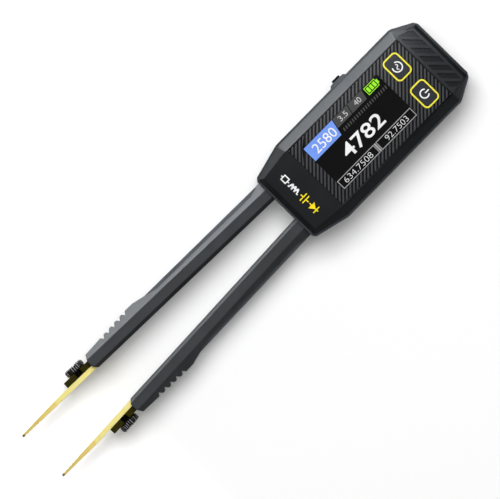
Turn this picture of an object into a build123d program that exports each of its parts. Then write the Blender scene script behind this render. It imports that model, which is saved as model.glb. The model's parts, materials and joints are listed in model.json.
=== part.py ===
from build123d import *
import os
from math import asin, atan2, cos, degrees, hypot, pi, radians, sin, tan

# Hand-held component tester with two sprung probe arms: a display head and a pair of
# tweezer arms with clamped blades. Millimetres. The head lies on its back at z = 0 and the
# origin is the middle of that back face. The blades point to -X, the display faces +Z.
# The left arm is on the +Y side; the right arm is its mirror image.

# Head: outline seen from the front
HEAD_LENGTH = 54.8
HEAD_WIDTH = 24.8
ARM_END_CUT_LENGTH = 9.5
ARM_END_CUT_DEPTH = 2.4
FAR_END_CUT_LENGTH = 6.0
FAR_END_CUT_DEPTH = 3.3
TURN_FLAT = 0.8  # narrow flat where a side turns towards an end
CORNER_FLAT = 0.7  # small flat on the rear cover's four end corners

# Head: shells
WALL = 1.6
FLOOR = 1.6
BACK_CHAMFER = 1.4
RIM_BRIDGE = 1.15  # rear cover above the arm openings
RIM_WIDTH = 0.5  # rear cover's rim showing around the front cover
BAND_HEIGHT = 0.3  # upright edge of the front cover above the rim
BEVEL_RISE = 2.3  # 45 degree facets around the front
TOP_WALL = 1.4
TONGUE_DEPTH = 0.9
TONGUE_WALL = 0.7
TONGUE_GAP = 0.05
ARM_END_SLOPE = 7.6  # degrees that the front falls towards the arms
FAR_END_SLOPE = 16.5
SLOT_COUNT = 7
SLOT_SPACING = 2.9
SLOT_WIDTH = 1.3
SLOT_BAND = 3.6
SLOT_BAND_GAP = 1.0
SLOT_DEPTH = 0.35
LABEL_LENGTH = 17.0
LABEL_WIDTH = 13.0
LABEL_FROM_END = 8.4
LABEL_DEPTH = 0.15

# Striped panel, window and display
PANEL_LENGTH = 37.6
PANEL_FROM_END = 6.6  # from the head's far end
PANEL_MARGIN = 0.35  # flat land along each side of the panel
PANEL_THICK = 0.8
PANEL_SINK = 0.1
PANEL_GAP = 0.1
STRIPE_PITCH = 0.876
STRIPE_GROOVE = 0.42
STRIPE_DEPTH = 0.25
STRIPE_ANGLE = 45.0
WINDOW_OFFSET = 3.2  # from the panel's middle towards the arms
WINDOW_LENGTH = 25.4
WINDOW_WIDTH = 14.0
WINDOW_GAP = 0.1
WINDOW_SEAT = 0.4
DISPLAY_BORDER = 1.8
DISPLAY_TO_BUTTON = 0.62
DISPLAY_SIDE_GAP = 0.22
DISPLAY_THICK = 1.6
DISPLAY_GAP = 0.1

# Front buttons
BUTTON_FROM_END = 4.45  # from the panel's far end
BUTTON_SPREAD = 9.26
BEZEL_LENGTH = 4.85
BEZEL_WIDTH = 6.6
BEZEL_BAND = 0.42
BEZEL_RADIUS = 1.25
BEZEL_PROUD = 0.15
BUTTON_PROUD = 0.1
BUTTON_GAP = 0.06
BUTTON_TRAVEL = 0.4
BUTTON_CLEAR = 0.05
FLANGE_REACH = 0.4
FLANGE_THICK = 0.5
STEM_RADIUS = 1.1
STEM_LENGTH = 1.2
SWITCH_SIDE = 3.6
SWITCH_HEIGHT = 2.0
PLUNGER_RADIUS = 0.9

# Side lever on the +Y wall
LEVER_X = 3.8
LEVER_WIDTH = 2.4
LEVER_HEIGHT = 2.6
LEVER_REACH = 0.55  # beyond its raised base
LEVER_TRAVEL = 0.7
LEVER_GAP = 0.12
LEVER_PLATE = 0.8
LEVER_PLATE_LAP = 0.9
LEVER_TAB = 1.0
LEVER_TAB_SIDE = 1.2
LEVER_CHAMFER = 0.16
BASE_LENGTH = 5.2
BASE_HEIGHT = 4.8
BASE_RISE = 0.6
SIDE_SWITCH_LENGTH = 6.0
SIDE_SWITCH_DEPTH = 3.2
SIDE_SWITCH_HEIGHT = 2.6

# Inside the head
BATTERY_END_GAP = 0.8
BATTERY_WIDTH = 15.0
BATTERY_THICK = 4.6
BATTERY_ROUND = 1.15
BATTERY_FLAP = 1.0
BATTERY_FLAP_WIDTH = 10.0
BATTERY_FLAP_THICK = 2.3
BATTERY_GAP = 1.0
BOARD_THICK = 1.2
BOARD_EDGE_GAP = 0.4
BOARD_SIDE_GAP = 1.2
BLOCK_FROM_END = 8.2  # from the head's arm end
BLOCK_LENGTH = 6.6
BLOCK_SIDE_GAP = 1.0
BLOCK_LAND = 0.8
BLOCK_PAD = 1.4
BLOCK_TO_BOARD = 0.3
USB_WIDTH = 8.94
USB_HEIGHT = 3.26
USB_LENGTH = 7.3
USB_SHELL = 0.3
USB_END_FLAT = 0.1  # straight part of the shell's rounded ends
USB_MOUTH_DEPTH = 6.2
USB_TONGUE_WIDTH = 6.7
USB_TONGUE_THICK = 0.7
USB_TONGUE_LENGTH = 4.5
USB_SINK = 0.3
USB_GAP = 0.15
PROCESSOR_X = -2.0
PROCESSOR_Y = -3.2
PROCESSOR_SIDE = 7.0
PROCESSOR_THICK = 1.0
CONVERTER_X = -3.4
CONVERTER_Y = 5.4
CONVERTER_SIDE = 4.0
CONVERTER_THICK = 0.9
BUZZER_X = 8.0
BUZZER_Y = -4.0
BUZZER_RADIUS = 3.6
BUZZER_HEIGHT = 2.6
BUZZER_HOLE_RADIUS = 0.7
BUZZER_HOLE_DEPTH = 1.3
CHIP_LEAD = 0.5
CHIP_LEAD_THICK = 0.3

# Fasteners
SCREW_RADIUS = 1.0
SCREW_HEAD_RADIUS = 1.8
SCREW_HEAD_HEIGHT = 1.1
SCREW_SOCKET_RADIUS = 0.6
SCREW_SOCKET_DEPTH = 0.6
SCREW_CLEAR = 0.1
SCREW_GRIP = 3.4
BOSS_WALL = 0.9
NEAR_POST_FROM_END = 4.05
FAR_POST_FROM_END = 5.2
FAR_POST_INSET = 0.33  # from midway between the socket and the wall
BOARD_SCREW_FROM_BLOCK = 2.4
BOARD_SCREW_FROM_SIDE = 4.3
BOARD_SCREW_RADIUS = 0.8
BOARD_SCREW_HEAD_RADIUS = 1.4
BOARD_SCREW_HEAD_HEIGHT = 0.7
CASE_SCREW = (SCREW_RADIUS, SCREW_HEAD_RADIUS, SCREW_HEAD_HEIGHT)
BOARD_SCREW = (BOARD_SCREW_RADIUS, BOARD_SCREW_HEAD_RADIUS, BOARD_SCREW_HEAD_HEIGHT)

# Arms, in their own frame: x runs from the head's end wall (0) to the blade tip (-),
# y outwards from the arm's inner face, z as on the head
ARM_FLOOR_GAP = 3.1
ARM_DEPTH = 9.0
ARM_FROM_CORNER = 1.18  # arm's outer face to the corner of the head's end
ARM_YAW = 2.0
ARM_LENGTH = 60.2
ARM_ROOT_LENGTH = 3.2
ARM_INNER_BEVEL = 0.85
ARM_INNER_BEVEL_DROP = 0.85
ARM_TOP_FLAT = 2.4
ARM_ROOT_WIDTH = 5.47
ARM_WAIST_WIDTH = 4.93  # rear shell where the grip begins
ARM_SPLIT = 5.5  # height of the rear shell
ROOT_STEP = 0.9
WAIST_START = 3.8
WAIST_START_WIDTH = 4.55
WAIST_END = 35.6
WAIST_END_WIDTH = 4.15
GRIP_START = 39.6
SHOULDER_START = 42.6
SHOULDER_END = 45.0
SHOULDER_WIDTH = 5.6
GRIP_END_WIDTH = 4.43
ARM_END_OUTER_CUT = 0.8
ARM_END_OUTER_WIDTH = 2.97
ARM_END_INNER_CUT = 1.0
ARM_END_INNER_WIDTH = 1.15
NOTCH_COUNT = 5
NOTCH_PITCH = 1.92
NOTCH_FIRST = 0.8
NOTCH_WIDTH = 1.25
NOTCH_DEPTH = 0.8
OPENING_GAP = 0.15

# Probe board inside each arm, with the lug that clamps the blade
BLADE_SINK = 0.18
BLADE_THICK = 1.3
BLADE_TIP_THICK = 0.65
BLADE_WIDTH = 5.2
BLADE_TIP_WIDTH = 0.8
BLADE_TIP_ROUND = 0.24
BLADE_LENGTH = 30.0
BLADE_IN_ARM = 6.0
BLADE_THIN_LENGTH = 12.0
BLADE_POINT_LENGTH = 11.5
BLADE_CORNER = 1.0
BLADE_GAP = 0.1
TOOTH_COUNT = 5
TOOTH_PITCH = 1.1
TOOTH_WIDTH = 0.74
TOOTH_DEPTH = 0.15
TIP_GAP_CLOSED = 0.1
LUG_THICK = 1.5
LUG_REACH = 7.9
LUG_SLOT_WIDTH = 1.8
PROBE_BOARD_START = 2.0
PIN_RADIUS = 0.7
PIN_FROM_ROOT = 2.8
PIN_SINK = 0.3
PIN_CLEAR = 0.015
CLAMP_FROM_ROOT = 9.5
CLAMP_RADIUS = 0.8
CLAMP_CLEAR = 0.05
CLAMP_PITCH = 0.35
CLAMP_TURNS = 2
WASHER_RADIUS = 2.45
WASHER_THICK = 0.2
KNOB_RADIUS = 2.65
KNOB_HEIGHT = 1.55
KNOB_BEVEL = 0.45
KNOB_BEVEL_DROP = 0.4
KNURL_COUNT = 28
KNURL_DEPTH = 0.2

# Leaf springs and leads at the arm roots
LEAF_THICK = 0.5
LEAF_DEPTH = 6.0
LEAF_GRIP = 5.0
LEAF_IN_ARM = 8.0
LEAD_RADIUS = 0.45
LEAD_LAP = 1.4
LEAD_CLEAR = 0.15

# Heights and places that follow from the sizes above
ARM_TOP = ARM_FLOOR_GAP + ARM_DEPTH
ARM_MIDDLE = ARM_FLOOR_GAP + ARM_DEPTH / 2
SPLIT_Z = ARM_FLOOR_GAP + ARM_SPLIT
RIM_Z = ARM_TOP + OPENING_GAP + RIM_BRIDGE
BEVEL_Z = RIM_Z + BAND_HEIGHT
FRONT_Z = BEVEL_Z + BEVEL_RISE
COVER_UNDER_Z = FRONT_Z - TOP_WALL
PANEL_TOP_Z = FRONT_Z - PANEL_SINK
POCKET_Z = PANEL_TOP_Z - PANEL_THICK
BOARD_Z = FLOOR + BATTERY_THICK + BATTERY_GAP
BOARD_TOP_Z = BOARD_Z + BOARD_THICK
DISPLAY_Z = COVER_UNDER_Z - DISPLAY_THICK
BEVEL_BACK_INSET = RIM_WIDTH + TOP_WALL * 2**0.5 - BAND_HEIGHT
HEAD_END_X = HEAD_LENGTH / 2
SIDE_Y = HEAD_WIDTH / 2
PANEL_WIDTH = HEAD_WIDTH - 2 * (RIM_WIDTH + BEVEL_RISE + PANEL_MARGIN)
PANEL_FAR_X = HEAD_END_X - PANEL_FROM_END
PANEL_X = PANEL_FAR_X - PANEL_LENGTH / 2
ARM_END_FOLD_X = PANEL_X - PANEL_LENGTH / 2 - PANEL_GAP
FAR_END_FOLD_X = PANEL_FAR_X + PANEL_GAP
WINDOW_X = PANEL_X - WINDOW_OFFSET
BUTTON_X = PANEL_FAR_X - BUTTON_FROM_END
DISPLAY_NEAR_X = WINDOW_X - WINDOW_LENGTH / 2 - DISPLAY_BORDER
DISPLAY_FAR_X = BUTTON_X - BEZEL_LENGTH / 2 - DISPLAY_TO_BUTTON
DISPLAY_SIDE_Y = SIDE_Y - BEVEL_BACK_INSET - (COVER_UNDER_Z - RIM_Z) - DISPLAY_SIDE_GAP
NEAR_POST_X = NEAR_POST_FROM_END - HEAD_END_X
FAR_POST_X = HEAD_END_X - FAR_POST_FROM_END
FAR_POST_Y = (USB_WIDTH / 2 + SIDE_Y - WALL) / 2 - FAR_POST_INSET
LABEL_X = HEAD_END_X - LABEL_FROM_END - LABEL_LENGTH / 2
BLOCK_NEAR_X = BLOCK_FROM_END - HEAD_END_X
BLOCK_FAR_X = BLOCK_NEAR_X + BLOCK_LENGTH
BLOCK_X = BLOCK_NEAR_X + BLOCK_LENGTH / 2
BOARD_SCREW_X = BLOCK_FAR_X + BOARD_SCREW_FROM_BLOCK
BOARD_SCREW_Y = SIDE_Y - BOARD_SCREW_FROM_SIDE
BATTERY_NEAR_X = BOARD_SCREW_X + BOARD_SCREW_RADIUS + BOSS_WALL + BATTERY_END_GAP
BATTERY_FAR_X = FAR_POST_X - SCREW_RADIUS - SCREW_CLEAR - BOSS_WALL - BATTERY_END_GAP
ARM_ROOT_Y = SIDE_Y - ARM_END_CUT_DEPTH - ARM_FROM_CORNER - ARM_ROOT_WIDTH
BLOCK_BASE_Z = FLOOR + BLOCK_PAD
BLOCK_TOP_Z = ARM_MIDDLE + LEAF_DEPTH / 2 + BLOCK_LAND
LEVER_Z = BOARD_TOP_Z + LEVER_HEIGHT / 2 + 2 * LEVER_GAP
BASE_Y = SIDE_Y + BASE_RISE
BEZEL_TOP_Z = PANEL_TOP_Z + BEZEL_PROUD
FLANGE_TOP_Z = COVER_UNDER_Z - BUTTON_CLEAR
STEM_END_Z = FLANGE_TOP_Z - FLANGE_THICK - STEM_LENGTH
BLADE_OUTER_Y = BLADE_SINK + BLADE_THICK
LUG_OUTER_Y = BLADE_OUTER_Y + LUG_THICK
WASHER_OUTER_Y = LUG_OUTER_Y + WASHER_THICK
BLADE_ROOT_X = BLADE_IN_ARM - ARM_LENGTH
BLADE_TIP_X = BLADE_ROOT_X - BLADE_LENGTH
CLAMP_X = BLADE_ROOT_X - CLAMP_FROM_ROOT
PIN_X = BLADE_ROOT_X - PIN_FROM_ROOT
LUG_END_X = -ARM_LENGTH - LUG_REACH
BOARD_LOW_Z = ARM_MIDDLE - BLADE_WIDTH / 2
BOARD_HIGH_Z = ARM_MIDDLE + BLADE_WIDTH / 2
TOP_OUTER_Y = ARM_INNER_BEVEL + ARM_TOP_FLAT
LEAF_OUTER_Y = LUG_OUTER_Y + LEAF_THICK
PAST = 1.0  # how far a cutting tool runs past what it cuts


def arm_point(x, y):
    """Where a point of the left arm's frame lies on the whole tool."""
    turn = radians(ARM_YAW)
    return (-HEAD_END_X + x * cos(turn) + y * sin(turn), ARM_ROOT_Y - x * sin(turn) + y * cos(turn))


# Each arm bends at the free middle of its leaf spring, until the tips nearly meet
HINGE_LOCAL_X = (ARM_ROOT_LENGTH + BLOCK_FROM_END) / 2
HINGE_X, HINGE_Y = arm_point(HINGE_LOCAL_X, LUG_OUTER_Y + LEAF_THICK / 2)
TIP_X, TIP_Y = arm_point(BLADE_TIP_X, BLADE_SINK)
TIP_RADIUS = hypot(TIP_X - HINGE_X, TIP_Y - HINGE_Y)
TIP_BEARING = atan2(TIP_Y - HINGE_Y, HINGE_X - TIP_X)
CLOSING_ANGLE = degrees(TIP_BEARING + asin((HINGE_Y - TIP_GAP_CLOSED / 2) / TIP_RADIUS))
LEAD_START_X, LEAD_Y = arm_point(PROBE_BOARD_START, BLADE_OUTER_Y + LEAD_RADIUS)
BLOCK_SCREW_Y = LEAD_Y / 2


def block(x0, x1, y0, y1, z0, z1):
    """A box between the given planes."""
    return Pos((x0 + x1) / 2, (y0 + y1) / 2, (z0 + z1) / 2) * Box(x1 - x0, y1 - y0, z1 - z0)


def slab(x, y, length, width, z0, z1):
    """A box centred on (x, y) in plan, between two heights."""
    return Pos(x, y, (z0 + z1) / 2) * Box(length, width, z1 - z0)


def post(x, y, z0, z1, radius):
    """An upright round bar or hole."""
    return Pos(x, y, (z0 + z1) / 2) * Cylinder(radius, z1 - z0)


def upright(plan, z0, z1):
    """A flat plan raised between two heights."""
    return Pos(0, 0, z0) * extrude(plan, z1 - z0, dir=(0, 0, 1))


def outline(*points):
    """A flat plan in the XY plane through the given corners."""
    return Polygon(*points, align=None)


def across(points, y0, y1):
    """A side view, given as (x, z) corners, carried from y0 to y1."""
    face = Plane.XZ * Polygon(*points, align=None)
    return Pos(0, y0, 0) * extrude(face, y1 - y0, dir=(0, 1, 0))


def along(points, x0, x1):
    """A cross-section, given as (y, z) corners, carried from x0 to x1."""
    face = Plane.YZ * Polygon(*points, align=None)
    return Pos(x0, 0, 0) * extrude(face, x1 - x0, dir=(1, 0, 0))


def screw(kind, x, y, under_head_z, length, heads_up=True):
    """A round-headed screw with a driving recess. Its head sits on under_head_z."""
    radius, head_radius, head_height = kind
    shank = Pos(0, 0, -length / 2) * Cylinder(radius, length)
    head = Pos(0, 0, head_height / 2) * Cylinder(head_radius, head_height)
    depth = min(SCREW_SOCKET_DEPTH, head_height / 2)
    socket = Pos(0, 0, head_height - depth / 2) * Cylinder(SCREW_SOCKET_RADIUS, depth)
    whole = shank + head - socket
    if not heads_up:
        whole = Rot(180, 0, 0) * whole
    return Pos(x, y, under_head_z) * whole


# ---------------------------------------------------------------- head shells


def head_plan(inset=0.0, corner=0.0):
    """The head's outline from the front, moved in by inset."""
    side = [
        (-HEAD_END_X, SIDE_Y - ARM_END_CUT_DEPTH),
        (-HEAD_END_X + ARM_END_CUT_LENGTH, SIDE_Y),
        (HEAD_END_X - FAR_END_CUT_LENGTH, SIDE_Y),
        (HEAD_END_X, SIDE_Y - FAR_END_CUT_DEPTH),
    ]
    plan = outline(*side, *[(x, -y) for x, y in reversed(side)])
    turns = [v for v in plan.vertices() if abs(v.X) < HEAD_END_X - TURN_FLAT]
    plan = chamfer(turns, TURN_FLAT / 2)
    if corner:
        ends = [v for v in plan.vertices() if abs(v.X) > HEAD_END_X - TURN_FLAT / 4]
        plan = chamfer(ends, corner)
    if inset:
        plan = offset(plan, -inset, kind=Kind.INTERSECTION)
    return plan


def faceted(inset, base_z, edge_z, top_z):
    """A block on the head's outline with 45 degree sides above edge_z and falling ends."""
    plan = head_plan(inset)
    body = upright(plan, base_z, top_z)
    rise = top_z - edge_z
    for edge in plan.edges():
        start, end = edge @ 0, edge @ 1
        run = (end - start).normalized()
        outward = Vector(run.Y, -run.X, 0)
        middle = (start + end) * 0.5
        if outward.dot(middle) < 0:
            outward = outward * -1
        side_axis = outward.cross(Vector(0, 0, 1))
        side = Plane(origin=middle + Vector(0, 0, edge_z), x_dir=outward, z_dir=side_axis)
        wedge = outline((0, 0), (PAST, 0), (PAST, rise + PAST), (-rise - PAST, rise + PAST))
        body -= extrude(side * wedge, amount=HEAD_LENGTH, both=True)
    drop = FRONT_Z - top_z
    for fold, reach, slope in (
        (ARM_END_FOLD_X, -HEAD_END_X - ARM_END_FOLD_X, ARM_END_SLOPE),
        (FAR_END_FOLD_X, HEAD_END_X - FAR_END_FOLD_X, FAR_END_SLOPE),
    ):
        fall = abs(reach) * tan(radians(slope))
        z = FRONT_Z - drop
        corners = [(fold, z), (fold + reach, z - fall), (fold + reach, z + PAST), (fold, z + PAST)]
        body -= across(corners, -HEAD_WIDTH, HEAD_WIDTH)
    return body


def button_plan(y, shrink):
    """The rounded outline of one front button's ring, moved in by shrink."""
    length, width = BEZEL_LENGTH - 2 * shrink, BEZEL_WIDTH - 2 * shrink
    return Pos(BUTTON_X, y) * RectangleRounded(length, width, BEZEL_RADIUS - shrink)


def button_rows():
    """The two front buttons: name and place across the head."""
    return (("mode", BUTTON_SPREAD / 2), ("power", -BUTTON_SPREAD / 2))


def end_slots():
    """The slanted recesses in the falling far end of the front."""
    inner = SLOT_BAND_GAP
    outer = SLOT_BAND_GAP + SLOT_BAND
    half = SLOT_WIDTH / 2 / cos(radians(STRIPE_ANGLE))
    slant = SLOT_BAND / 2 * tan(radians(STRIPE_ANGLE))
    reach = SIDE_Y - RIM_WIDTH - BEVEL_RISE
    taper = FAR_END_CUT_DEPTH / FAR_END_CUT_LENGTH * SLOT_BAND / 2
    limit = outline((inner, -reach), (outer, -reach + taper), (outer, reach - taper), (inner, reach))
    fold = Plane(
        origin=(FAR_END_FOLD_X, 0, FRONT_Z),
        x_dir=(cos(radians(FAR_END_SLOPE)), 0, -sin(radians(FAR_END_SLOPE))),
        z_dir=(sin(radians(FAR_END_SLOPE)), 0, cos(radians(FAR_END_SLOPE))),
    )
    tools = []
    for number in range(SLOT_COUNT):
        y = (number - (SLOT_COUNT - 1) / 2) * SLOT_SPACING
        strip = outline(
            (inner, y + slant - half),
            (outer, y - slant - half),
            (outer, y - slant + half),
            (inner, y + slant + half),
        )
        tools.append(extrude(fold * (strip & limit), amount=SLOT_DEPTH, both=True))
    return tools


def post_places():
    """The three pairs of posts that the case screws pull together."""
    return [(NEAR_POST_X, 0), (FAR_POST_X, FAR_POST_Y), (FAR_POST_X, -FAR_POST_Y)]


def post_split(x):
    """Height where the rear boss ends: under the board, or halfway up by the arms."""
    return BOARD_Z if x > 0 else ARM_MIDDLE


def case_screw_end(x):
    """Height that a case screw reaches inside its front post."""
    return post_split(x) + (BOARD_THICK if x > 0 else 0) + SCREW_GRIP


def make_front_cover():
    body = faceted(RIM_WIDTH, RIM_Z, BEVEL_Z, FRONT_Z)
    body -= faceted(BEVEL_BACK_INSET, RIM_Z - PAST, RIM_Z, COVER_UNDER_Z)
    tongue_out = WALL + TONGUE_GAP
    ring = head_plan(tongue_out) - head_plan(tongue_out + TONGUE_WALL)
    body += upright(ring, RIM_Z - TONGUE_DEPTH, RIM_Z + BAND_HEIGHT)
    for x, y in post_places():
        foot = post_split(x) + (BOARD_THICK if x > 0 else 0)
        body += post(x, y, foot, COVER_UNDER_Z, SCREW_RADIUS + BOSS_WALL)
        body -= post(x, y, foot, case_screw_end(x), SCREW_RADIUS)
    body &= faceted(RIM_WIDTH, 0, BEVEL_Z, FRONT_Z)
    body -= usb_bar(USB_GAP, HEAD_END_X - USB_SINK - USB_LENGTH, HEAD_END_X)
    length, width = PANEL_LENGTH + 2 * PANEL_GAP, PANEL_WIDTH + 2 * PANEL_GAP
    body -= slab(PANEL_X, 0, length, width, POCKET_Z, FRONT_Z + PAST)
    body -= window_block(WINDOW_SEAT, RIM_Z, FRONT_Z)
    for _, y in button_rows():
        body -= upright(button_plan(y, BEZEL_BAND), RIM_Z, FRONT_Z)
    for tool in end_slots():
        body -= tool
    return body


def arm_section(grow):
    """The arm's cross-section at its root, (y, z) corners, grown by grow."""
    low, high = ARM_FLOOR_GAP - grow, ARM_TOP + grow
    inner, outer = -grow, ARM_ROOT_WIDTH + grow
    drop = ARM_ROOT_WIDTH - TOP_OUTER_Y
    return [
        (ARM_INNER_BEVEL, low),
        (TOP_OUTER_Y, low),
        (outer, low + drop),
        (outer, high - drop),
        (TOP_OUTER_Y, high),
        (ARM_INNER_BEVEL, high),
        (inner, high - ARM_INNER_BEVEL_DROP),
        (inner, low + ARM_INNER_BEVEL_DROP),
    ]


def arm_opening():
    """What the left arm sweeps through in the end wall, closed and open."""
    tool = along(arm_section(OPENING_GAP), -WALL, ARM_ROOT_LENGTH + PAST)
    rest = placed(tool, "left")
    swung = rest.rotate(Axis(origin=(HINGE_X, HINGE_Y, 0), direction=(0, 0, 1)), CLOSING_ANGLE)
    return rest + swung


def lever_block(width, y0, y1, z0, z1):
    """A box centred on the side lever along the head."""
    return block(LEVER_X - width / 2, LEVER_X + width / 2, y0, y1, z0, z1)


def lever_base():
    """The raised land around the side lever."""
    top = BASE_LENGTH / 2 - BASE_RISE
    foot = BASE_LENGTH / 2
    plan = outline(
        (LEVER_X - foot, SIDE_Y),
        (LEVER_X - top, BASE_Y),
        (LEVER_X + top, BASE_Y),
        (LEVER_X + foot, SIDE_Y),
        (LEVER_X + foot, SIDE_Y - WALL / 2),
        (LEVER_X - foot, SIDE_Y - WALL / 2),
    )
    return upright(plan, LEVER_Z - BASE_HEIGHT / 2, LEVER_Z + BASE_HEIGHT / 2)


def make_rear_cover():
    shell = upright(head_plan(corner=CORNER_FLAT), 0, RIM_Z)
    shell = chamfer(shell.faces().sort_by(Axis.Z)[0].edges(), BACK_CHAMFER)
    shell -= upright(head_plan(WALL), FLOOR, RIM_Z + PAST)
    shell += lever_base()
    width = LEVER_WIDTH + 2 * (LEVER_TRAVEL + LEVER_GAP)
    tall = LEVER_HEIGHT / 2 + LEVER_GAP
    shell -= lever_block(width, SIDE_Y - WALL - PAST, BASE_Y + PAST, LEVER_Z - tall, LEVER_Z + tall)
    for x, y in post_places():
        shell += post(x, y, FLOOR, post_split(x), SCREW_RADIUS + SCREW_CLEAR + BOSS_WALL)
        shell -= post(x, y, 0, post_split(x), SCREW_RADIUS + SCREW_CLEAR)
        shell -= post(x, y, 0, SCREW_HEAD_HEIGHT, SCREW_HEAD_RADIUS + SCREW_CLEAR)
    for side in (1, -1):
        y = side * BOARD_SCREW_Y
        shell += post(BOARD_SCREW_X, y, FLOOR, BOARD_Z, BOARD_SCREW_RADIUS + BOSS_WALL)
        shell -= post(BOARD_SCREW_X, y, BOARD_Z - SCREW_GRIP, BOARD_Z, BOARD_SCREW_RADIUS)
        y = side * BLOCK_SCREW_Y
        shell += post(BLOCK_X, y, FLOOR, BLOCK_BASE_Z, SCREW_RADIUS + BOSS_WALL)
        shell -= post(BLOCK_X, y, FLOOR, BLOCK_BASE_Z, SCREW_RADIUS)
    opening = arm_opening()
    shell -= opening
    shell -= mirror(opening, about=Plane.XZ)
    shell -= usb_bar(USB_GAP, HEAD_END_X - WALL - PAST, HEAD_END_X + PAST)
    shell -= slab(LABEL_X, 0, LABEL_LENGTH, LABEL_WIDTH, 0, LABEL_DEPTH)
    return shell


# ---------------------------------------------------------------- front face


def window_block(shrink, z0, z1):
    """A plate on the window's place, moved in by shrink on every side."""
    return slab(WINDOW_X, 0, WINDOW_LENGTH - 2 * shrink, WINDOW_WIDTH - 2 * shrink, z0, z1)


def make_striped_panel():
    plate = slab(PANEL_X, 0, PANEL_LENGTH, PANEL_WIDTH, POCKET_Z, PANEL_TOP_Z)
    plate -= window_block(-WINDOW_GAP, POCKET_Z, FRONT_Z)
    for _, y in button_rows():
        plate -= upright(button_plan(y, 0), POCKET_Z, FRONT_Z)
    reach = PANEL_LENGTH + PANEL_WIDTH
    count = int(reach * cos(radians(STRIPE_ANGLE)) / 2 / STRIPE_PITCH) + 1
    groove = Box(reach, STRIPE_GROOVE, 2 * STRIPE_DEPTH)
    tools = []
    for number in range(-count, count + 1):
        strip = Pos(0, number * STRIPE_PITCH, 0) * groove
        tools.append(Pos(PANEL_X, 0, PANEL_TOP_Z) * Rot(0, 0, STRIPE_ANGLE) * strip)
    plate -= tools
    return plate


def make_display_window():
    return window_block(0, POCKET_Z, PANEL_TOP_Z)


def make_display_module():
    glass = window_block(WINDOW_SEAT + DISPLAY_GAP, COVER_UNDER_Z, POCKET_Z)
    ends, sides = (DISPLAY_NEAR_X, DISPLAY_FAR_X), (-DISPLAY_SIDE_Y, DISPLAY_SIDE_Y)
    return glass + block(*ends, *sides, DISPLAY_Z, COVER_UNDER_Z)


def make_bezel(y):
    ring = button_plan(y, 0) - button_plan(y, BEZEL_BAND)
    return upright(ring, POCKET_Z, BEZEL_TOP_Z)


def make_button(y):
    top = BEZEL_TOP_Z + BUTTON_PROUD
    flange_z = FLANGE_TOP_Z - FLANGE_THICK
    cap = upright(button_plan(y, BEZEL_BAND + BUTTON_GAP), flange_z, top)
    flange = upright(button_plan(y, BEZEL_BAND - FLANGE_REACH), flange_z, FLANGE_TOP_Z)
    return cap + flange + post(BUTTON_X, y, STEM_END_Z, flange_z, STEM_RADIUS)


def make_button_switch(y):
    case = slab(BUTTON_X, y, SWITCH_SIDE, SWITCH_SIDE, BOARD_TOP_Z, BOARD_TOP_Z + SWITCH_HEIGHT)
    plunger_top = STEM_END_Z - BUTTON_TRAVEL - BUTTON_CLEAR
    return case + post(BUTTON_X, y, BOARD_TOP_Z, plunger_top, PLUNGER_RADIUS)


# ---------------------------------------------------------------- side lever


def make_side_lever():
    low, high = LEVER_Z - LEVER_HEIGHT / 2, LEVER_Z + LEVER_HEIGHT / 2
    plate_y = SIDE_Y - WALL - LEVER_GAP
    nub = lever_block(LEVER_WIDTH, plate_y, BASE_Y + LEVER_REACH, low, high)
    nub = chamfer(nub.faces().sort_by(Axis.Y)[-1].edges(), LEVER_CHAMFER)
    plate_width = LEVER_WIDTH + 2 * (LEVER_PLATE_LAP + LEVER_TRAVEL)
    plate = lever_block(plate_width, plate_y - LEVER_PLATE, plate_y, low, high + LEVER_GAP)
    tab_y = plate_y - LEVER_PLATE - LEVER_TAB
    half = LEVER_TAB_SIDE / 2
    return nub + plate + lever_block(LEVER_TAB_SIDE, tab_y, plate_y, LEVER_Z - half, LEVER_Z + half)


def make_side_switch():
    outer_y = SIDE_Y - WALL - LEVER_GAP - LEVER_PLATE - LEVER_TAB - LEVER_GAP
    inner_y = outer_y - SIDE_SWITCH_DEPTH
    top = BOARD_TOP_Z + SIDE_SWITCH_HEIGHT
    return lever_block(SIDE_SWITCH_LENGTH, inner_y, outer_y, BOARD_TOP_Z, top)


# ---------------------------------------------------------------- inside the head


def make_battery():
    """A pouch cell with its folded-over seam at the end by the arms."""
    half = BATTERY_WIDTH / 2
    cell = block(BATTERY_NEAR_X, BATTERY_FAR_X, -half, half, FLOOR, FLOOR + BATTERY_THICK)
    cell = fillet(cell.edges().filter_by(Axis.X), BATTERY_ROUND)
    half = BATTERY_FLAP_WIDTH / 2
    start, top = BATTERY_NEAR_X - BATTERY_FLAP, FLOOR + BATTERY_FLAP_THICK
    return cell + block(start, BATTERY_NEAR_X, -half, half, FLOOR, top)


def make_main_board():
    start = BLOCK_FAR_X + BLOCK_TO_BOARD
    end = HEAD_END_X - WALL - BOARD_EDGE_GAP
    half = SIDE_Y - WALL - BOARD_SIDE_GAP
    plate = upright(head_plan(WALL + BOARD_EDGE_GAP), BOARD_Z, BOARD_TOP_Z)
    plate &= block(start, end, -half, half, BOARD_Z, BOARD_TOP_Z)
    for x, y in post_places()[1:]:
        plate -= post(x, y, BOARD_Z, BOARD_TOP_Z, SCREW_RADIUS + SCREW_CLEAR)
    for side in (1, -1):
        plate -= post(BOARD_SCREW_X, side * BOARD_SCREW_Y, BOARD_Z, BOARD_TOP_Z, BOARD_SCREW_RADIUS)
    return plate


def usb_bar(grow, x0, x1):
    """The socket's long round shape from x0 to x1, grown by grow all round."""
    radius = (USB_HEIGHT - USB_END_FLAT) / 2 + grow
    plan = Plane.YZ * RectangleRounded(USB_WIDTH + 2 * grow, USB_HEIGHT + 2 * grow, radius)
    return Pos(x0, 0, BOARD_TOP_Z + USB_HEIGHT / 2) * extrude(plan, x1 - x0, dir=(1, 0, 0))


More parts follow.
